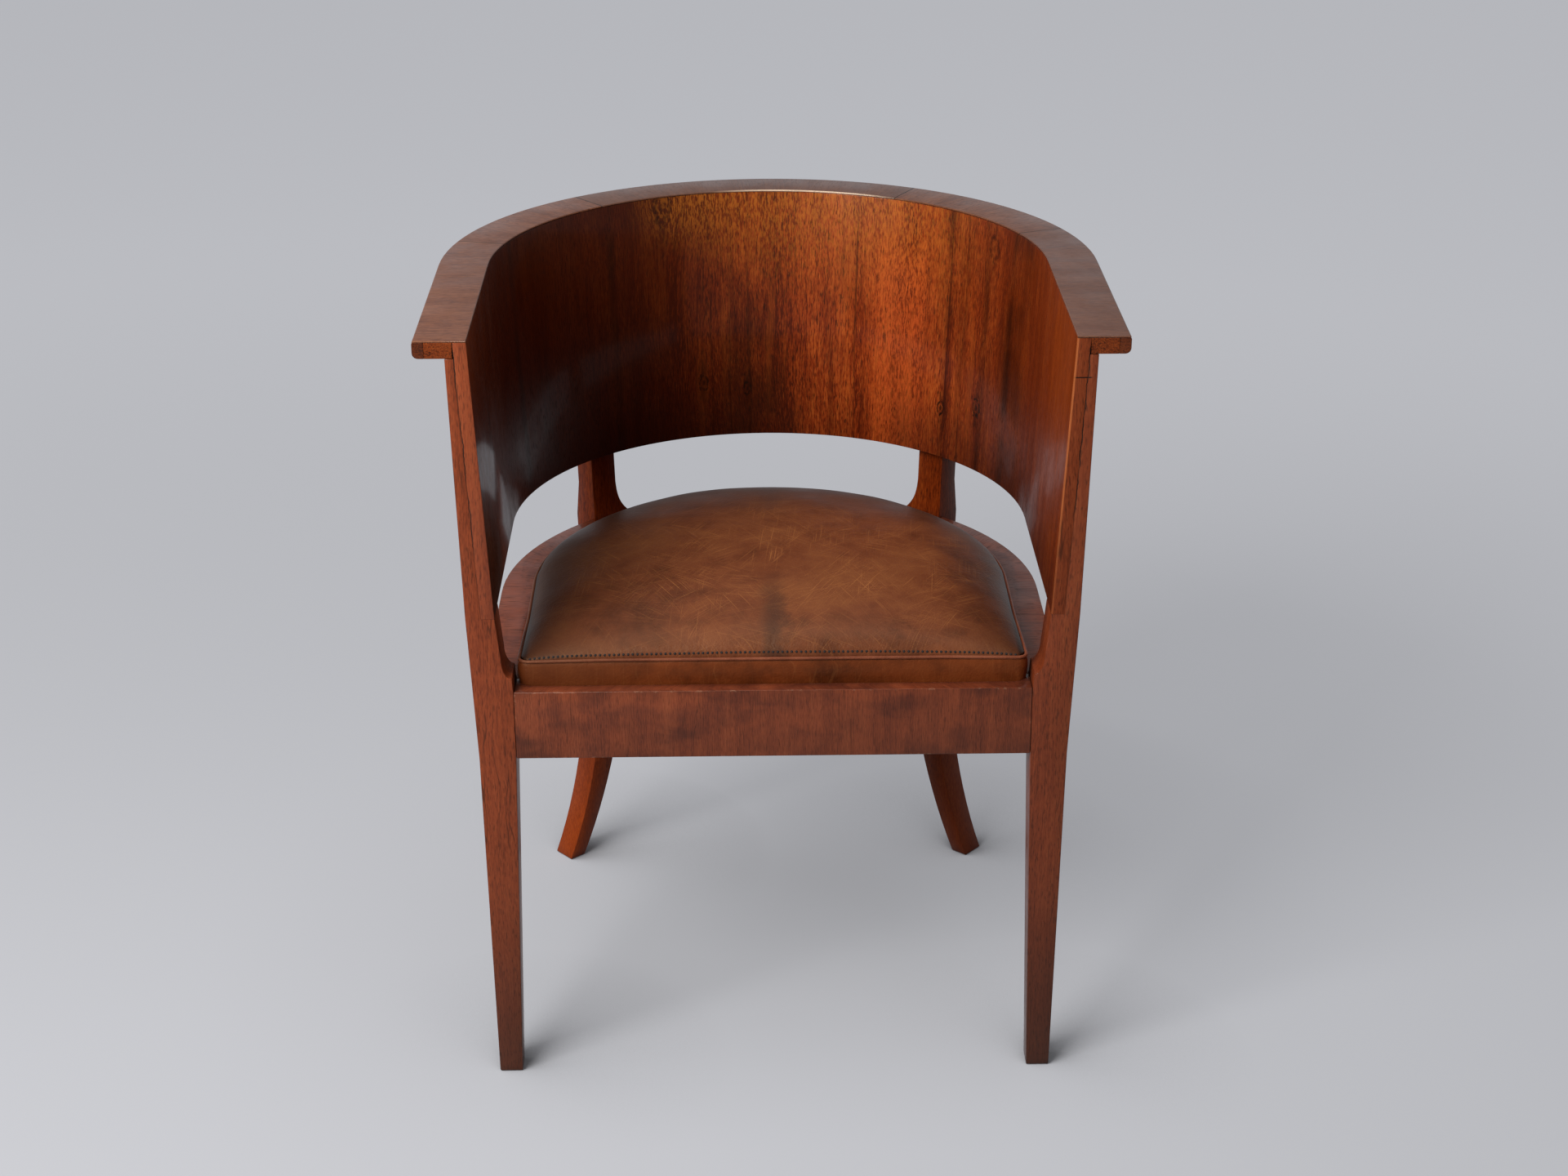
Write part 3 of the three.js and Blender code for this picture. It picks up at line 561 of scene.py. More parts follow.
def shell_finish():
    """Upright veneer in leaves, each cut from another place, with knots low on the back."""
    material, tree, shader = new_material("shell veneer")
    place = kept(tree, "grain", "Vector")
    along, depth, height = split(place)
    leaf, push, dark = 0.0, 0.0, 0.0
    for bearing in SHELL_SEAMS:
        leaf = (along > across(bearing)) + leaf
    for knot_across, knot_height, size, strength in KNOTS:
        knot = use_group(tree, KNOT, {
            "Across": along, "Along": height, "Knot Across": knot_across * MM,
            "Knot Along": knot_height * MM, "Size": size * MM,
        })
        push = knot["Push"] + push
        dark = most(dark, knot["Dark"] * strength)
    flowing = shifted(place, joined(push))
    made = grown(tree, flowing, VENEER_TONES, 0.85, 1.0, 0.42, 0.9, patch=(44, 44, 17), seed=leaf + 3)
    line = (cloud(place, (5, 5, 8)) - 0.5) * (9 * MM) + (along + push)
    broken = spread(cloud(flowing, (16, 16, 11), 3, 0.6), 0.36, 0.62, 0.3, 1)
    for bearing, width, strength in STREAKS:
        off = abs(line - across(bearing))
        dark = most(dark, spread(off, width * MM, 0.1 * width * MM, 0, strength) * broken)
    ribbons = cloud(shifted(flowing, joined(leaf)), (70, 70, 1.6), 3, 0.6)
    colour = mixed(spread(ribbons, 0.5, 0.68, 0, 0.5), made["Color"], linear(74, 22, 7))
    colour = mixed(spread(ribbons, 0.46, 0.3, 0, 0.3), colour, linear(184, 88, 30))
    # Painted shade on the left of the shell, which turns away from the light.
    colour = mixed(spread(along, 60 * MM, -135 * MM, 0, 0.84), colour, linear(44, 10, 3))
    colour = mixed(spread(along, 175 * MM, 320 * MM, 0, 0.62), colour, linear(82, 27, 5))
    for bearing, width, strength, none_at, full_at in BANDS:
        off = abs(line - across(bearing))
        band = spread(off, width * MM, 0.3 * width * MM, 0, strength) * spread(height, none_at, full_at)
        colour = mixed(band * broken, colour, linear(34, 9, 3))
    flecks = spread(cloud(flowing, (720, 720, 160), 2, 0.6), 0.42, 0.6, 0.1, 1)
    off = abs(line - across(WARM_BEARING))
    warm = spread(off, 48 * MM, 18 * MM, 0, 0.54) * flecks * spread(height, 0.72, 0.65, 0.2, 1)
    colour = mixed(warm, colour, linear(206, 88, 36))
    # Painted highlight: a golden band towards the top, where the light glances off the veneer, broken by
    # its flecks.
    start = spread(along, -130 * MM, 20 * MM, 0.67, 0.6)
    within = spread(along, -155 * MM, -90 * MM) * spread(along, 290 * MM, 120 * MM)
    painted_top_highlight = spread(height, start, 0.73) * flecks * within * 0.53
    colour = mixed(painted_top_highlight, colour, linear(190, 108, 34))
    arm = spread(along, 400 * MM, 580 * MM) * spread(height, 0.5, 0.68) * 0.25
    colour = mixed(arm, colour, linear(150, 68, 22))
    # Painted shade along the foot of the shell just above the seat, weaker a little right of the middle.
    painted_low_shade = spread(height, 0.54, 0.475, 0, 0.5) * spread(abs(along - 90 * MM), 35 * MM, 70 * MM, 0.15, 1)
    colour = mixed(painted_low_shade, colour, linear(56, 22, 14))
    colour = mixed(dark, colour, linear(22, 6, 3))
    x, y, z = split(object_place(tree))
    ends = grown(tree, place, LEG_TONES, 0.5, 0.45, 0.2, 0.6, 0.8)["Color"]
    # Painted shade: the right end is darker, as the light falls off towards the right.
    ends = mixed((x > 0) * 0.24, ends, linear(30, 10, 4))
    ends = mixed(use_group(tree, SHAKE)["Dark"], ends, CRACK_BLACK)
    colour = mixed(on_front(y), colour, ends)
    # Painted highlight along the inner arris at the front of the right end.
    painted_rim_highlight = spread(x - inner_face(z), 1.8 * MM, 1.1 * MM) * spread(y, FRONT_Y + 1.8 * MM, FRONT_Y + 1.1 * MM)
    painted_rim_highlight = painted_rim_highlight * (x > 0) * spread(z, 0.5, 0.6, 0.2, 0.55)
    colour = mixed(painted_rim_highlight, colour, linear(204, 116, 64))
    glossy = spread(along, -400 * MM, -520 * MM, 0.1, 0.45)
    polish(tree, shader, colour, made, 0.38, glossy, coat_roughness=0.12, gloss=0.16)
    return material


SHELL_WOOD = shell_finish()

SCRATCH_TURNS = (14, 39, 62, 95, 118, 141, 166)


def scratched(place):
    """Fine scratches in several directions, in patches."""
    lines = 0.0
    for turn in SCRATCH_TURNS:
        turned = put(place.tree, "VectorRotate", {"Vector": place, "Angle": math.radians(turn)},
                     rotation_type="Z_AXIS")
        turned = shifted(turned, (turn * 0.11, 0, 0))
        line = spread(cloud(turned, (19, 1450, 19), 1, 0.5, 0.1), 0.62, 0.74)
        here = spread(cloud(turned, (12, 20, 12), 1), 0.46, 0.66)
        lines = most(lines, line * here)
    return lines


def leather_finish(name, dark, middle, light, scratches, crease=0.0, seam=0.0):
    """Waxed hide: patches of wear, fine pebbles, pale scratches, and painted shade towards the back and
    left.
    """
    material, tree, shader = new_material(name)
    place = object_place(tree)
    x, y, z = split(place)
    blotch = cloud(place, (7, 7, 7), 3, 0.5, 0.2)
    mist = cloud(place, (42, 42, 42), 4, 0.65) - 0.5
    tone = mist * 0.6 + blotch
    colour = mixed(spread(tone, 0.2, 0.56), linear(*dark), linear(*middle))
    colour = mixed(spread(tone, 0.44, 0.8), colour, linear(*light))
    scratch = scratched(place) * spread(y, -0.235, -0.16, 0.4 * scratches, scratches)
    colour = mixed(scratch, colour, linear(170, 108, 60))
    # Painted shade: the leather darkens towards the back and the left, which the back and the left arm
    # shade.
    painted_shade_back = spread(y, -0.03, 0.13, 0, 0.84)
    painted_shade_aslant = spread(y * 0.8 - x, 0.06, 0.22, 0, 0.75)
    painted_shade_left = spread(x, -0.05, -0.21, 0, 0.5)
    colour = mixed(most(painted_shade_back, painted_shade_aslant, painted_shade_left), colour, linear(58, 28, 13))
    # Darker towards the seat's sides and back.
    colour = mixed(kept(tree, "edge") * 0.72, colour, linear(40, 21, 13))
    if seam:
        back = most(y - SEAT_CURVE_Y, 0)
        inside = root(x * x + back * back) * -1 + SEAT_REACH
        colour = mixed(spread(inside, 6.5 * MM, 3 * MM, 0, seam), colour, linear(26, 13, 9))
    pebble = put(tree, "TexVoronoi", {"Vector": place, "Scale": 560.0}, "Distance", feature="SMOOTH_F1")
    height = pebble * 0.5 + cloud(place, (210, 210, 210), 4, 0.65, 0.6)
    if crease:
        aside = abs(mist * (26 * MM) + x - 2 * MM)
        forward = spread(y, -0.13, -0.215)
        fold = most(forward, spread(y, -0.03, 0.08, 0, 0.4))
        # Darker along the crease in the middle.
        crease_darkening = spread(aside, 18 * MM, 2 * MM) * fold * crease
        colour = mixed(crease_darkening, colour, linear(48, 32, 26))
        height = spread(aside, 3 * MM, 0.4 * MM) * forward * -0.35 + height
    fill(shader, {
        "Base Color": colour,
        "Normal": bumped(height, 0.5, 0.6 * MM),
        "Roughness": spread(blotch, 0.3, 0.7, 0.38, 0.54),
        "Specular IOR Level": 0.26,
        "Specular Tint": SHEEN_TINT,
    })
    return material


SEAT_LEATHER = leather_finish("seat leather", (73, 36, 20), (109, 57, 33), (127, 73, 41), 0.7, crease=0.6,
                              seam=0.75)
BOXING_LEATHER = leather_finish("boxing leather", (69, 28, 9), (109, 49, 19), (125, 61, 26), 0.25)
# The welt is a lighter copy of the seat's leather: a painted highlight along its rounded fold.
HIGHLIT_WELT_LEATHER = leather_finish("welt leather, painted highlight", (88, 42, 26), (127, 68, 46), (142, 84, 58), 0.1)


def plain_finish(name, colour, roughness, metallic=0.0, weave=0.0):
    """A lightly speckled finish, with crossing threads where a weave is given."""
    material, tree, shader = new_material(name)
    place = object_place(tree)
    speckle = spread(cloud(place, (160, 160, 160), 3, 0.6), 0.3, 0.7, 0, 0.5)
    shade = mixed(speckle, linear(*colour), linear(*[value * 0.6 for value in colour]))
    if weave:
        x, y, z = split(stretched(place, (weave, weave, weave)))
        height = maths("SINE", x) * maths("SINE", y)
        # Painted shade in the hollows between the threads.
        shade = mixed(spread(height, -0.6, 0.6, 0.35, 0.0), shade, linear(40, 28, 14))
        fill(shader, {"Normal": bumped(height, 0.8, 0.4 * MM)})
    fill(shader, {"Base Color": shade, "Metallic": metallic, "Roughness": roughness})
    return material


STRAP_JUTE = plain_finish("strap jute", (158, 124, 78), 0.9, weave=2400.0)
HESSIAN = plain_finish("hessian", (142, 112, 70), 0.95, weave=3400.0)
SCREW_STEEL = plain_finish("screw steel", (120, 114, 106), 0.45, metallic=1.0)
THREAD = plain_finish("stitch thread", (22, 10, 7), 0.8)


# Modelling helpers

def deselect():
    bpy.ops.object.select_all(action="DESELECT")


def only(piece):
    deselect()
    piece.select_set(True)
    bpy.context.view_layer.objects.active = piece


def edit(piece):
    only(piece)
    bpy.ops.object.mode_set(mode="EDIT")


def done():
    bpy.ops.object.mode_set(mode="OBJECT")


def settle(name):
    """Names the piece in hand and moves its place into its mesh."""
    piece = bpy.context.object
    piece.name = name
    bpy.ops.object.transform_apply(location=True, rotation=True, scale=True)
    return piece


def take_all(kind=None):
    """In edit mode, selects everything, as vertices, edges or faces where a kind is given."""
    if kind:
        bpy.ops.mesh.select_mode(type=kind)
    bpy.ops.mesh.select_all(action="SELECT")


def pick(piece, kind, test):
    """In edit mode, selects the vertices or edges whose points all pass a test."""
    bpy.ops.mesh.select_mode(type=kind)
    bpy.ops.mesh.select_all(action="DESELECT")
    shape = bmesh.from_edit_mesh(piece.data)
    for thing in shape.verts if kind == "VERT" else shape.edges:
        points = [thing.co] if kind == "VERT" else [corner.co for corner in thing.verts]
        if all(test(point) for point in points):
            thing.select = True
    shape.select_flush(True)
    bmesh.update_edit_mesh(piece.data)


def extrude(move):
    bpy.ops.mesh.extrude_region_move(TRANSFORM_OT_translate={"value": move})


def face_outwards():
    take_all()
    bpy.ops.mesh.normals_make_consistent(inside=False)


def soften(piece, width, segments, test):
    """Rounds the edges whose ends pass a test."""
    edit(piece)
    pick(piece, "EDGE", test)
    bpy.ops.mesh.bevel(offset=width, segments=segments, affect="EDGES")
    done()


def shade_smooth_below(angle):
    bpy.ops.object.shade_smooth_by_angle(angle=math.radians(angle))


def store(piece, name, kind, domain, field, values):
    """Keeps values on a mesh, for its material or its rounding to read."""
    layer = piece.data.attributes.new(name, kind, domain)
    layer.data.foreach_set(field, values)


def bend_place(point):
    """Distance along the bend from the middle of the back, and reach out from the chair's middle."""
    if point.y >= CURVE_Y:
        bearing = math.atan2(point.x, point.y - CURVE_Y)
        return SHELL_REACH * bearing, math.hypot(point.x, point.y - CURVE_Y)
    side = math.copysign(1, point.x)
    return side * (SHELL_REACH * math.pi / 2 + CURVE_Y - point.y), abs(point.x)


BOARD_STEP = 1.37
LEVEL_NORMAL = 0.7


def lay_grain(piece, way):
    """Stores where each corner lies in the wood. The third value runs along the fibres."""
    mesh = piece.data
    values = []
    board = 0 if way == "upright veneer" else BOARD_STEP * len(bpy.data.objects)
    for face in mesh.polygons:
        flat = abs(face.normal.z) > LEVEL_NORMAL
        for index in face.vertices:
            point = mesh.vertices[index].co
            along, reach = bend_place(point)
            if way == "upright":
                place = (point.x, point.y, point.z)
            elif way == "along":
                place = (reach, point.z, along)
            elif way == "across x":
                place = (point.z, point.y, point.x)
            elif way == "cross band" and flat:
                place = (along, point.z, reach)
            else:
                place = (along, reach, point.z)
            values += [value + board for value in place]
    store(piece, "grain", "FLOAT_VECTOR", "CORNER", "vector", values)


JOINT_ROUNDING = 0.15


def at_post_joint(point):
    """Whether a point lies where the shell's end meets the post, on the face that shows."""
    beside = abs(abs(point.x) - outer_face(point.z)) < 2 * FIT
    below = abs(point.z - SHELL_FOOT) < 2 * FIT
    return point.y < FRONT_Y + FIT and (beside or below)


def weigh_arrises(piece, angle):
    """Says how much each arris is rounded. Those of the flush post joint stay nearly sharp."""
    shape = bmesh.new()
    shape.from_mesh(piece.data)
    weights = []
    for edge in shape.edges:
        sharp = edge.is_manifold and edge.calc_face_angle() > angle
        flush = all(at_post_joint(corner.co) for corner in edge.verts)
        weights.append(float(sharp) * (JOINT_ROUNDING if flush else 1))
    shape.free()
    store(piece, "bevel_weight_edge", "FLOAT", "EDGE", "value", weights)


ARRIS_ANGLE = 35


def harden(piece, bevel, segments=2, at_joint=False):
    """Rounds the arrises and shades the long curves smoothly."""
    edit(piece)
    take_all()
    bpy.ops.mesh.remove_doubles(threshold=0.01 * MM)
    face_outwards()
    done()
    rounding = piece.modifiers.new("rounding", "BEVEL")
    rounding.width = bevel
    rounding.segments = segments
    rounding.limit_method = "ANGLE"
    rounding.angle_limit = math.radians(ARRIS_ANGLE)
    if at_joint:
        weigh_arrises(piece, math.radians(ARRIS_ANGLE))
        rounding.limit_method = "WEIGHT"
    rounding.harden_normals = False
    bpy.ops.object.modifier_apply(modifier="rounding")
    shade_smooth_below(ARRIS_ANGLE)


def dress(piece, material):
    piece.data.materials.clear()
    piece.data.materials.append(material)


def finish_wood(piece, node, material, way, body="frame"):
    lay_grain(piece, way)
    dress(piece, material)
    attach(piece, body)
    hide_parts(node)


def bend_bar(name, reaches, heights, start, end, drawn_in=0.0):
    """A bar of oblong section that follows the bend between two bearings.

    A bearing of 90 to either side goes on along the straight arm to the front."""
    deselect()
    first = math.radians(start)
    middle = sum(reaches) / 2
    place = (middle * math.sin(first), CURVE_Y + middle * math.cos(first), sum(heights) / 2)
    upright = (math.pi / 2, 0, math.pi / 2 - first)
    bpy.ops.mesh.primitive_plane_add(size=1, location=place, rotation=upright)
    bpy.context.object.scale = (reaches[1] - reaches[0], heights[1] - heights[0], 1)
    piece = settle(name)
    arm = FRONT_Y - CURVE_Y
    edit(piece)
    if drawn_in:
        pick(piece, "EDGE", lambda point: point.z < heights[0] + FIT)
        inward = (-drawn_in * math.sin(first), -drawn_in * math.cos(first), 0)
        bpy.ops.transform.translate(value=inward)
    take_all("FACE")
    if start == -90:
        bpy.ops.transform.translate(value=(0, arm, 0))
        extrude((0, -arm, 0))
    bpy.ops.mesh.spin(steps=round((end - start) / BEND_STEP), angle=math.radians(end - start),
                      center=(0, CURVE_Y, 0), axis=(0, 0, 1))
    if end == 90:
        extrude((0, arm, 0))
    face_outwards()
    done()
    return piece


def soften_edge(piece, reach, height, width, segments):
    """Rounds the long edge that runs at a reach and a height."""
    def on_edge(point):
        return abs(bend_place(point)[1] - reach) < FIT and abs(point.z - height) < FIT
    soften(piece, width, segments, on_edge)


# Arm and crest rail with the back shell

def build_shell():
    reaches = (inner_face(CORE_TOP), outer_face(CORE_TOP))
    drawn_in = inner_face(CORE_TOP) - inner_face(SHELL_FOOT)
    piece = bend_bar("shell", reaches, (SHELL_FOOT, CORE_TOP), -90, 90, drawn_in)
    harden(piece, ARRIS, at_joint=True)
    finish_wood(piece, "back_shell", SHELL_WOOD, "upright veneer")


def build_crest_lengths(gap):
    """The core of the rail and the lipping that forms its outer edge, in three lengths."""
    core = (SHELL_REACH + SHELL_THICKNESS + GLUE_LINE, OUTER_REACH - LIPPING_WIDTH - GLUE_LINE)
    lip = (OUTER_REACH - LIPPING_WIDTH, OUTER_REACH)
    lengths = (
        ("left", -90, -CREST_JOINT - gap),
        ("back", -CREST_JOINT + gap, CREST_JOINT - gap),
        ("right", CREST_JOINT + gap, 90),
    )
    for name, start, end in lengths:
        piece = bend_bar(f"rail_core_{name}", core, (CORE_FOOT, CORE_TOP), start, end)
        harden(piece, FINE_ARRIS, 1)
        finish_wood(piece, f"crest_core_{name}", RAIL_WOOD, "along")
        piece = bend_bar(f"rail_lipping_{name}", lip, (CORE_FOOT, CORE_TOP), start, end)
        soften_edge(piece, OUTER_REACH, CORE_FOOT, LIPPING_FOOT_ROUND, 5)
        soften_edge(piece, OUTER_REACH, CORE_TOP, LIPPING_TOP_ROUND, 3)
        harden(piece, FINE_ARRIS, 1)
        finish_wood(piece, f"crest_lipping_{name}", LIPPING_WOOD, "along")


def build_leaves(gap):
    """The veneer on top of the rail, in five leaves."""
    ends = (-90, *LEAF_SEAMS, 90)
    names = ("left_arm", "left_bend", "back", "right_bend", "right_arm")
    reaches = (SHELL_REACH, OUTER_REACH - LEAF_SETBACK)
    edge = RAIL_TOP - LEAF_FOOT - 0.1 * MM

    def at_end(point):
        return point.y < FRONT_Y + FIT and point.z > RAIL_TOP - FIT

    for name, smoke, start, end in zip(names, LEAF_SMOKE, ends, ends[1:]):
        start += 0 if start == -90 else gap
        end -= 0 if end == 90 else gap
        piece = bend_bar(f"rail_leaf_{name}", reaches, (LEAF_FOOT, RAIL_TOP), start, end)
        soften_edge(piece, reaches[1], RAIL_TOP, edge, 3)
        soften_edge(piece, reaches[0], RAIL_TOP, 1 * MM, 3)
        if "arm" in name:
            soften(piece, edge, 3, at_end)
        harden(piece, LEAF_ARRIS, 1)
        finish_wood(piece, f"top_veneer_{name}", RAIL_LEAF, "cross band")
        store(piece, "smoke", "FLOAT", "POINT", "value", [smoke] * len(piece.data.vertices))


def build_crest():
    gap = math.degrees(FIT / 2 / SHELL_REACH)
    build_crest_lengths(gap)
    build_leaves(gap)


# Legs

def section(station):
    """The height, middle and size of a section, from its height and its low and high corners."""
    z, low, high = station
    return z, (Vector(low) + Vector(high)) / 2, Vector(high) - Vector(low)


def build_post(name, stations):
    """A post from its foot up, through its sections."""
    deselect()
    z, middle, size = section(stations[0])
    bpy.ops.mesh.primitive_plane_add(size=1, location=(*middle, z))
    bpy.context.object.scale = (*size, 1)
    piece = settle(name)
    edit(piece)
    take_all("FACE")
    for station in stations[1:]:
        height, there, span = section(station)
        extrude((*(there - middle), height - z))
        scale = (span.x / size.x, span.y / size.y, 1)
        bpy.ops.transform.resize(value=scale, center_override=(*there, height))
        z, middle, size = height, there, span
    done()
    return piece


FOOT_WEAR = 1.8 * MM
LEG_WIDTH = 33.5 * MM
LEG_DEPTH = 36 * MM
LEG_PROUD = 5.3 * MM
LEG_FOOT_DRAW = 4.4 * MM
LEG_FOOT_WIDTH = 21.5 * MM
LEG_FOOT_DEPTH = 22 * MM
EAR_SWELL = 2.9 * MM
EAR_ABOVE_RAIL = 13 * MM
EAR_INSET = 0.8 * MM
SCOOP_INSET = 9.7 * MM
SCOOP_ABOVE_RAIL = 31 * MM
SCOOP_STEPS = 8
SHOULDER_CHEEK = 14 * MM
TOP_CHEEK = 7.8 * MM


def front_leg_stations():
    outer = SEAT_RAIL_REACH + LEG_PROUD
    inner = outer - LEG_WIDTH
    shoulder = SHELL_FOOT - GLUE_LINE
    top = CORE_FOOT - FIT
    back = FRONT_Y + LEG_DEPTH
    ear_z = SEAT_RAIL_TOP + EAR_ABOVE_RAIL
    scoop_z = SEAT_RAIL_TOP + SCOOP_ABOVE_RAIL

    def cheek(z):
        share = (z - SEAT_RAIL_TOP) / (shoulder - SEAT_RAIL_TOP)
        return outer + EAR_SWELL + share * (outer_face(shoulder) + SHOULDER_CHEEK - outer - EAR_SWELL)

    foot_outer = outer - LEG_FOOT_DRAW
    stations = [
        (0, (foot_outer - LEG_FOOT_WIDTH, FRONT_Y), (foot_outer, FRONT_Y + LEG_FOOT_DEPTH)),
        (SEAT_RAIL_FOOT, (inner, FRONT_Y), (outer, back)),
        (SEAT_RAIL_TOP, (inner, FRONT_Y), (outer + EAR_SWELL, back)),
    ]
    for step in range(SCOOP_STEPS + 1):
        turn = math.radians(90 - step * 90 / SCOOP_STEPS)
        x = inner + EAR_INSET + (SCOOP_INSET - EAR_INSET) * math.cos(turn)
        z = scoop_z - (scoop_z - ear_z) * math.sin(turn)
        stations.append((z, (x, FRONT_Y), (cheek(z), back)))
    scoop_x = inner + SCOOP_INSET
    for share in (0.25, 0.5, 0.75, 1):
        z = scoop_z + share * (shoulder - scoop_z)
        x = scoop_x + share * (inner_face(shoulder) - scoop_x)
        stations.append((z, (x, FRONT_Y), (cheek(z), back)))
    stations.append((shoulder, (outer_face(shoulder) + GLUE_LINE, FRONT_Y), (cheek(shoulder), back)))
    stations.append((top, (outer_face(top) + GLUE_LINE, FRONT_Y), (outer_face(top) + TOP_CHEEK, back)))
    return stations


REAR_BEARING = 41
REAR_MARGIN = 10.7 * MM
REAR_WIDTH = 30 * MM
REAR_SEAT_WIDTH = 33 * MM
REAR_SEAT_DEPTH = 30 * MM
REAR_FOOT_WIDTH = 18.5 * MM
REAR_FOOT_DEPTH = 26 * MM
REAR_FLARE = 13 * MM
REAR_FLARE_HEIGHT = 36 * MM
REAR_SWEEP_BACK = 44 * MM
REAR_SWEEP_SIDE = 29.5 * MM
SWEEP_STEPS = 18
FLARE_STEPS = 12


def rear_leg_station(z):
    """Section of the right rear leg, before it is turned to its bearing."""
    below = max(0, 1 - z / SEAT_RAIL_FOOT)
    above = min(max((z - SEAT_RAIL_TOP) / REAR_FLARE_HEIGHT, 0), 1)
    top_depth = OUTER_REACH - REAR_MARGIN - outer_face(CORE_FOOT) - FIT
    width = REAR_SEAT_WIDTH + (REAR_WIDTH - REAR_SEAT_WIDTH) * above
    width += (REAR_FOOT_WIDTH - width) * below
    depth = REAR_SEAT_DEPTH + (top_depth - REAR_SEAT_DEPTH) * above
    depth += (REAR_FOOT_DEPTH - depth) * below
    flare = REAR_FLARE * (1 - above) ** 3 * (1 - below) ** 2
    inner = outer_face(z) + FIT + REAR_SWEEP_BACK * below ** 2
    away = REAR_WIDTH / 2 + REAR_SWEEP_SIDE * below ** 3
    return z, (away - width - flare, CURVE_Y + inner), (away, CURVE_Y + inner + depth)


def mirrored(stations):
    return [(z, (-high[0], low[1]), (-low[0], high[1])) for z, low, high in stations]


def build_leg(name, sign, stations, bearing=0):
    """A leg from the right one's stations, mirrored for the left and turned to its bearing."""
    piece = build_post(name, stations if sign > 0 else mirrored(stations))
    if bearing:
        turn = Matrix.Rotation(-sign * math.radians(bearing), 4, "Z")
        pivot = Vector((0, CURVE_Y, 0))
        piece.matrix_world = Matrix.Translation(pivot) @ turn @ Matrix.Translation(-pivot)
        only(piece)
        settle(name)
    soften(piece, FOOT_WEAR, 3, lambda point: point.z < FIT)
    return piece


def build_legs():
    heights = [SEAT_RAIL_FOOT * step / SWEEP_STEPS for step in range(SWEEP_STEPS + 1)]
    heights += [SEAT_RAIL_TOP + REAR_FLARE_HEIGHT * step / FLARE_STEPS for step in range(FLARE_STEPS + 1)]
    heights.append(CORE_FOOT - FIT)
    for name, sign in SIDES:
        piece = build_leg(f"leg_front_{name}", sign, front_leg_stations())
        harden(piece, ARRIS, at_joint=True)
        finish_wood(piece, f"front_leg_{name}", LEG_WOOD[name], "upright")
        stations = [rear_leg_station(z) for z in heights]
        piece = build_leg(f"leg_rear_{name}", sign, stations, REAR_BEARING)
        harden(piece, ARRIS)
        finish_wood(piece, f"rear_leg_{name}", REAR_LEG_WOOD, "upright")


# Pieces that keep the shape of their node

def refine(node, name, bevel, material, way, body="frame"):
    """A merged copy of a node with its flats joined up and its arrises rounded."""
    piece = frame["nodes"][node].copy()
    piece.data = piece.data.copy()
    piece.name = name
    for key in list(piece.keys()):
        del piece[key]
    piece.parent = None
    bpy.context.scene.collection.objects.link(piece)
    edit(piece)
    take_all()
    bpy.ops.mesh.remove_doubles(threshold=0.02 * MM)
    bpy.ops.mesh.dissolve_limited(angle_limit=math.radians(0.6))
    done()
    harden(piece, bevel)
    finish_wood(piece, node, material, way, body)


def build_seat_rails():
    for place in ("front", "left", "right", "back"):
        refine(f"seat_rail_{place}", f"rail_{place}", SEAT_RAIL_ARRIS, SEAT_RAIL_WOOD, "cross band")


def build_inner_wood():
    for name, sign in SIDES:
        for place in ("front", "rear"):
            corner = f"{place}_{name}"
            refine(f"corner_block_{corner}", f"block_{corner}", BLOCK_ARRIS, INNER_WOOD, "across x")
    for place in ("front", "back", "left", "right"):
        refine(f"seat_frame_{place}", f"frame_{place}", SEAT_FRAME_ARRIS, INNER_WOOD, "across x",
               "seat")


NODE_FINISHES = {"dowel": INNER_WOOD, "tongue": INNER_WOOD, "screw": SCREW_STEEL, "webbing": STRAP_JUTE,
                 "hessian": HESSIAN}


def dress_nodes():
    """Finishes for the nodes that stay as they are."""
    for name, node in frame["nodes"].items():
        for word, finish in NODE_FINISHES.items():
            if word in name:
                dress(node, finish)


# Leather seat

OUTLINE_POINTS = 120


def seat_outline(name, inset, z, filled=False):
    """The seat's plan: a half disc behind, straight sides and a front with rounded corners."""
    deselect()
    bpy.ops.mesh.primitive_circle_add(vertices=OUTLINE_POINTS, radius=SEAT_REACH - inset,
                                      fill_type="NGON", location=(0, SEAT_CURVE_Y, z))
    piece = settle(name)
    front = SEAT_FRONT_Y + inset
    edit(piece)
    take_all()
    bpy.ops.mesh.bisect(plane_co=(0, SEAT_CURVE_Y, z), plane_no=(0, 1, 0), clear_inner=True)
    pick(piece, "VERT", lambda point: point.y < SEAT_CURVE_Y + FIT)
    bpy.ops.mesh.select_mode(type="EDGE")
    extrude((0, front - SEAT_CURVE_Y, 0))
    take_all()
    bpy.ops.mesh.dissolve_limited(angle_limit=math.radians(0.5))
    pick(piece, "VERT", lambda point: point.y < front + FIT)
    bpy.ops.mesh.bevel(offset=SEAT_CORNER, segments=5, affect="VERTICES")
    if not filled:
        take_all("FACE")
        bpy.ops.mesh.delete(type="ONLY_FACE")
    done()
    return piece


SEAM_DRAW = 1.5 * MM
START_CROWN = 0.85
CROWN_FULLNESS = 0.5
FRONT_ROLL = 3.4
VOXEL = 5 * MM
CLOTH_FRAMES = 20
CLOTH_PRESSURE = 4
CLOTH_CAP = 12 * MM
HELD_HEIGHT = 1.5 * MM
# How far the front corners droop and stand out, from what share of the reach, and how deep it goes
CORNER_DROOP = (1.5 * MM, 0.72, 60 * MM)
CORNER_SPREAD = (3.2 * MM, 0.8, 90 * MM)
BROAD_DIP = 1.6 * MM
SMALL_DIP = 0.5 * MM
DIP_FADE = 14 * MM
DARK_EDGE = 80 * MM


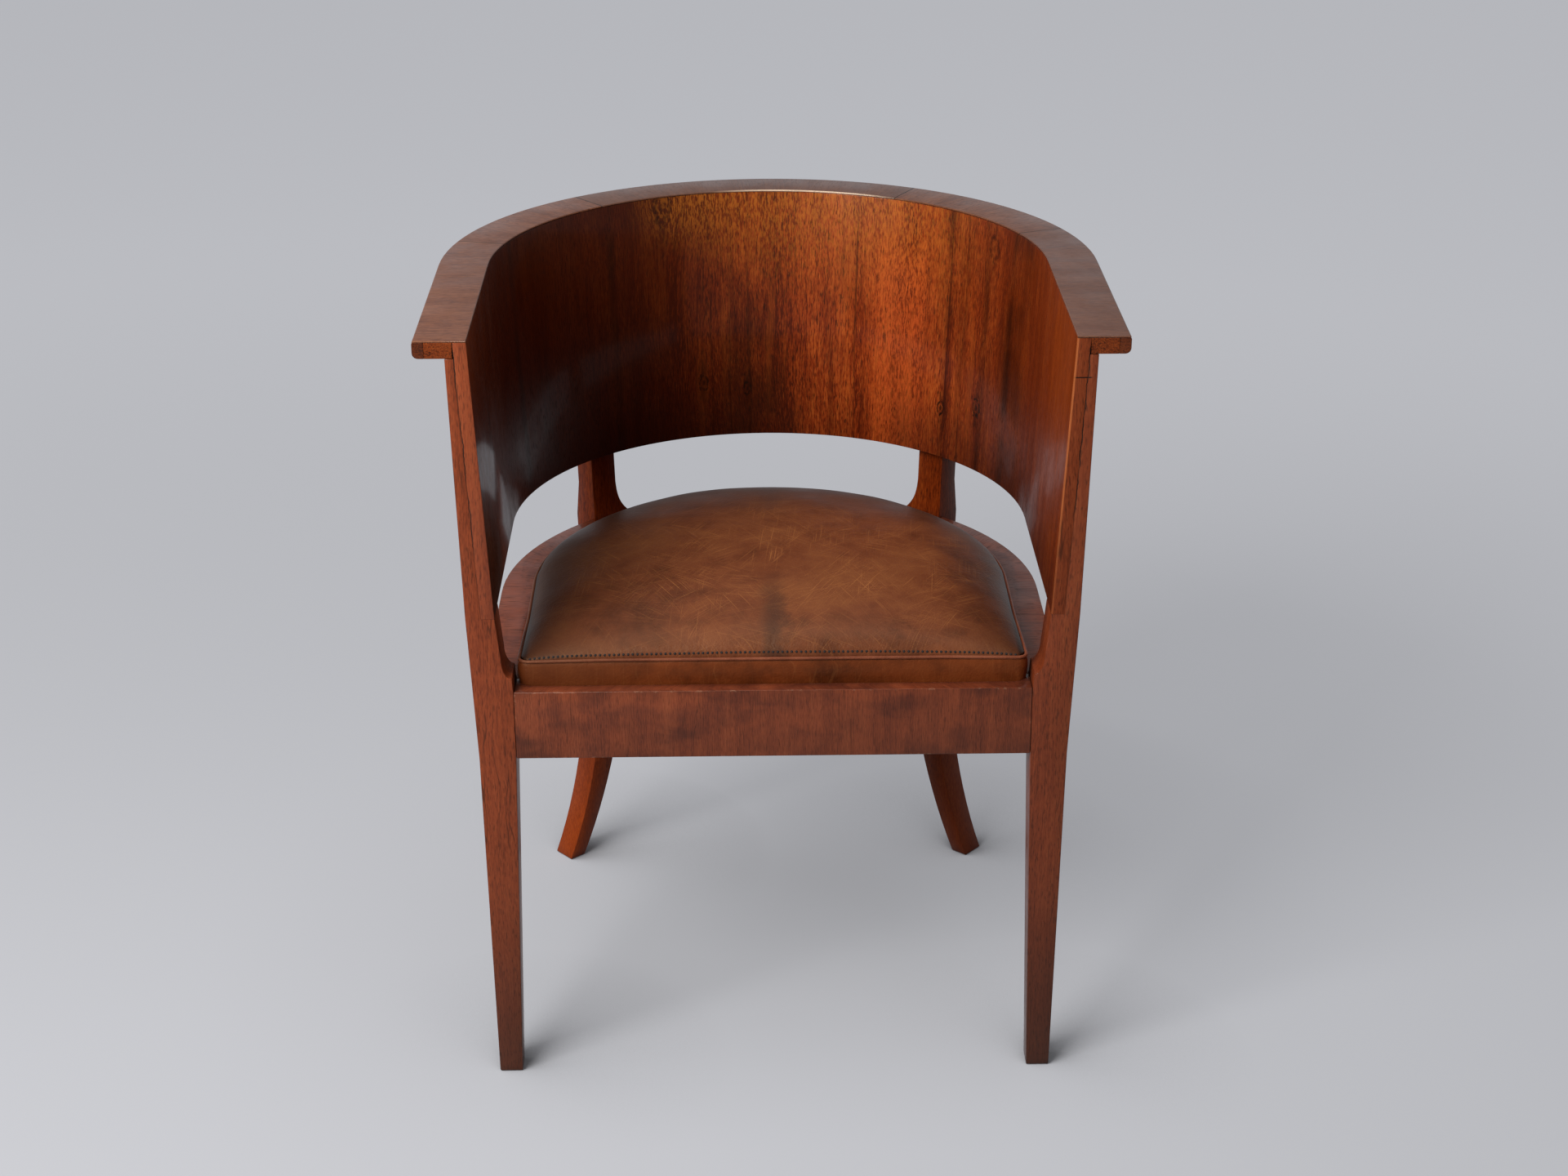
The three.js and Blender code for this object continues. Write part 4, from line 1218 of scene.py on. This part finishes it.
def back_of(point):
    """How far a point lies behind the start of the seat's curve."""
    return max(point.y - SEAT_CURVE_Y, 0)


def crown_share(point):
    """From 0 along the seam to 1 in the middle of the crown, with no ridge anywhere."""
    reach = SEAT_REACH - SEAM_DRAW
    aside = 1 - (point.x ** 2 + back_of(point) ** 2) / reach ** 2
    depth = SEAT_CURVE_Y - SEAT_FRONT_Y - SEAM_DRAW
    forward = 1 - (min(max(SEAT_CURVE_Y - point.y, 0), depth) / depth) ** FRONT_ROLL
    return max(0, aside * forward) ** CROWN_FULLNESS


def raise_crown(piece):
    """Lifts the flat pad to the crown that it has before it is stuffed tight."""
    for vertex in piece.data.vertices:
        if vertex.co.z > SEAT_SEAM:
            rise = START_CROWN * (CROWN_TOP - SEAT_SEAM) * crown_share(vertex.co)
            vertex.co.z = SEAT_SEAM + 0.5 * MM + rise


def inflate(piece):
    """Lets the stuffing press the leather out between its sewn edges."""
    vertices = piece.data.vertices
    before = [vertex.co.copy() for vertex in vertices]
    held = piece.vertex_groups.new(name="held")
    sewn = [vertex.index for vertex in vertices if vertex.co.z < SEAT_SEAM + HELD_HEIGHT]
    held.add(sewn, 1, "REPLACE")
    cloth = piece.modifiers.new("cloth", "CLOTH")
    settings = cloth.settings
    settings.quality = 6
    settings.mass = 0.4
    settings.tension_stiffness = settings.compression_stiffness = 25
    settings.shear_stiffness = 12
    settings.bending_stiffness = 4
    settings.use_pressure = True
    settings.uniform_pressure_force = CLOTH_PRESSURE
    settings.vertex_group_mass = "held"
    settings.effector_weights.gravity = 0
    for number in range(1, CLOTH_FRAMES + 1):
        bpy.context.scene.frame_set(number)
    only(piece)
    bpy.ops.object.modifier_apply(modifier="cloth")
    bpy.context.scene.frame_set(1)
    for vertex, start in zip(piece.data.vertices, before):
        move = vertex.co - start
        if move.length > CLOTH_CAP:
            vertex.co = start + move.normalized() * CLOTH_CAP
    piece.vertex_groups.clear()


def at_corner(point, amount, start, depth):
    """An amount that grows from nothing to full towards the front corners of the seat."""
    aside = max(0, abs(point.x) / SEAT_REACH - start) / (1 - start)
    return amount * aside ** 2 * max(0, 1 - (point.y - SEAT_FRONT_Y) / depth)


def corner_droop(point):
    """How far the front corners of the seam hang below its middle."""
    return at_corner(point, *CORNER_DROOP)


def corner_spread(point):
    """How much the stuffing pushes the front corners outwards."""
    return math.copysign(at_corner(point, *CORNER_SPREAD), point.x)


def hang_corners(piece):
    """Lets the front corners of the cover droop towards the seam and stand out."""
    for vertex in piece.data.vertices:
        share = (vertex.co.z - SEAT_BASE) / (SEAT_SEAM - SEAT_BASE)
        vertex.co.z -= corner_droop(vertex.co) * share
        vertex.co.x += corner_spread(vertex.co)


def settle_crown(piece):
    """Brings the crown to its height, with the slight dips of a seat that has been used."""
    vertices = piece.data.vertices
    highest = max(vertex.co.z for vertex in vertices)
    scale = (CROWN_TOP - SEAT_SEAM) / (highest - SEAT_SEAM)
    for vertex in vertices:
        point = vertex.co
        rise = max(0, point.z - SEAT_SEAM)
        dip = noise.noise(point * 11) * BROAD_DIP + noise.noise(point * 29) * SMALL_DIP
        lift = rise * scale + dip * min(1, rise / DIP_FADE)
        base = min(point.z, SEAT_SEAM) - corner_droop(point)
        vertex.co.z = base + lift
        vertex.co.x += corner_spread(point)


def mark_edge(piece):
    """How close each point is to the seat's sides and back, where the leather is coloured darker."""
    values = []
    for vertex in piece.data.vertices:
        side = SEAT_REACH - math.hypot(vertex.co.x, back_of(vertex.co))
        values.append(max(0, 1 - side / DARK_EDGE) ** 1.4)
    store(piece, "edge", "FLOAT", "POINT", "value", values)


def build_seat_top():
    piece = seat_outline("seat_top", SEAM_DRAW, SEAT_SEAM - 1 * MM, filled=True)
    edit(piece)
    take_all("FACE")
    extrude((0, 0, VOXEL + 1 * MM))
    face_outwards()
    done()
    piece.data.remesh_voxel_size = VOXEL
    bpy.ops.object.voxel_remesh()
    raise_crown(piece)
    inflate(piece)
    settle_crown(piece)
    smooth = piece.modifiers.new("smooth", "SUBSURF")
    smooth.levels = smooth.render_levels = 1
    bpy.ops.object.modifier_apply(modifier="smooth")
    bpy.ops.object.shade_smooth()
    mark_edge(piece)
    dress(piece, SEAT_LEATHER)
    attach(piece, "seat")
    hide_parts("leather_top", "seat_padding")
    return piece


SEAT_MIDDLE_Y = (SEAT_FRONT_Y + SEAT_CURVE_Y + SEAT_REACH) / 2
LEATHER_THICKNESS = 1.8 * MM
# Share of the boxing's height, and how far it swells out there in millimetres
BOXING_SWELL = ((0.3, 0), (0.5, 0.7), (0.7, 1.2), (0.85, 1.0), (0.95, 0.2), (1, -0.8))


def build_boxing():
    piece = seat_outline("seat_boxing", 0, SEAT_BASE)
    edit(piece)
    take_all("EDGE")
    height, bulge = SEAT_BASE, 0
    for share, out in BOXING_SWELL:
        z = SEAT_BASE + share * (SEAT_SEAM - SEAT_BASE)
        extrude((0, 0, z - height))
        scale = (SEAT_REACH + out * MM) / (SEAT_REACH + bulge * MM)
        bpy.ops.transform.resize(value=(scale, scale, 1), center_override=(0, SEAT_MIDDLE_Y, z))
        height, bulge = z, out
    face_outwards()
    done()
    hang_corners(piece)
    wall = piece.modifiers.new("wall", "SOLIDIFY")
    wall.thickness = LEATHER_THICKNESS
    wall.offset = -1
    bpy.ops.object.modifier_apply(modifier="wall")
    shade_smooth_below(50)
    dress(piece, BOXING_LEATHER)
    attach(piece, "seat")
    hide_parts("leather_boxing")


WELT_RADIUS = 1.6 * MM


def build_welt():
    """The folded edge where the top is sewn to the boxing."""
    piece = seat_outline("seat_welt", 0.2 * MM, SEAT_SEAM)
    edit(piece)
    take_all()
    bpy.ops.mesh.subdivide(number_cuts=6)
    done()
    hang_corners(piece)
    bpy.ops.object.convert(target="CURVE")
    cord = bpy.context.object.data
    cord.bevel_depth = WELT_RADIUS
    cord.bevel_resolution = 3
    bpy.ops.object.convert(target="MESH")
    bpy.ops.object.shade_smooth()
    piece = bpy.context.object
    dress(piece, HIGHLIT_WELT_LEATHER)
    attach(piece, "seat")


STITCH_PITCH = 4.2 * MM
STITCH_SETBACK = 2.5 * MM
STITCH_SIZE = (1.25 * MM, 1.3 * MM, 0.8 * MM)
STITCH_MARGIN = 4 * MM


def build_stitches(top):
    """A row of stitches sunk in the leather along the front."""
    count = int(2 * (SEAT_REACH - STITCH_MARGIN) / STITCH_PITCH)
    deselect()
    bpy.ops.mesh.primitive_uv_sphere_add(segments=6, ring_count=4, radius=1)
    bpy.context.object.scale = STITCH_SIZE
    first = settle("stitch")
    shape = first.data
    copies = []
    for index in range(count):
        above = ((index - (count - 1) / 2) * STITCH_PITCH, SEAT_FRONT_Y + STITCH_SETBACK, CROWN_TOP + 0.1)
        hit, place, normal, face = top.ray_cast(above, (0, 0, -1))
        if not hit:
            continue
        copy = bpy.data.objects.new("stitch", shape.copy())
        bpy.context.scene.collection.objects.link(copy)
        copy.matrix_world = Matrix.Translation(place) @ normal.to_track_quat("Z", "Y").to_matrix().to_4x4()
        copies.append(copy)
    bpy.data.objects.remove(first)
    only(copies[0])
    for copy in copies:
        copy.select_set(True)
    bpy.ops.object.join()
    piece = settle("seat_stitches")
    bpy.ops.object.shade_smooth()
    dress(piece, THREAD)
    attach(piece, "seat")


# Floor and surroundings

BACKGROUND = (0.485, 0.491, 0.521, 1)
FLOOR_BOUNCE = (0.3, 0.303, 0.315, 1)
FLOOR_SEEN = (0.29, 0.293, 0.31, 1)
FLOOR_WIDTH = 60
# The way to the key light, so that the painted shadow of the legs falls on the floor on their far side
# only
SHADE_AIM = (-0.52, -0.63, 0.57)


def seen(tree):
    """Marks what the camera and the glossy surfaces see."""
    path = put(tree, "LightPath").socket.node.outputs
    return most(Flow(path["Is Camera Ray"]), Flow(path["Is Glossy Ray"]))


def make_floor():
    """A pale floor. Its evenness behind the chair is in the floor, so that no light is needed there."""
    deselect()
    bpy.ops.mesh.primitive_plane_add(size=FLOOR_WIDTH, location=(0, 0, 0))
    floor = settle("floor")
    material, tree, shader = new_material("pale floor")
    shown = seen(tree)
    place = object_place(tree)
    away = put(tree, "VectorMath", {0: place, 1: (-0.6, -0.9, 0)}, "Value", operation="DISTANCE")
    to_key = put(tree, "CombineXYZ", dict(enumerate(SHADE_AIM)))
    shade = put(tree, "AmbientOcclusion", {"Distance": 0.2, "Normal": to_key}, "AO", samples=8)
    # The glow dims near the legs on their far side from the key: a painted shadow.
    glow = spread(away, 1.2, 3.6, 0.56, 0.76) * spread(shade, 0.62, 1.0, 0.12, 1)
    fill(shader, {
        "Base Color": mixed(shown, FLOOR_BOUNCE, FLOOR_SEEN),
        "Emission Color": BACKGROUND,
        "Emission Strength": shown * glow,
        "Roughness": 0.9,
        "Specular IOR Level": 0.0,
    })
    floor.data.materials.append(material)


def make_world():
    world = bpy.data.worlds.new("studio")
    world.use_nodes = True
    back = world.node_tree.nodes["Background"]
    fill(back, {"Color": BACKGROUND, "Strength": seen(world.node_tree) * 0.85 + 0.1})
    bpy.context.scene.world = world


make_camera()
make_floor()
make_world()
make_lights()
build_shell()
build_crest()
build_legs()
build_seat_rails()
build_inner_wood()
dress_nodes()
seat_top = build_seat_top()
build_boxing()
build_welt()
build_stitches(seat_top)

bpy.context.scene.view_settings.view_transform = "Standard"
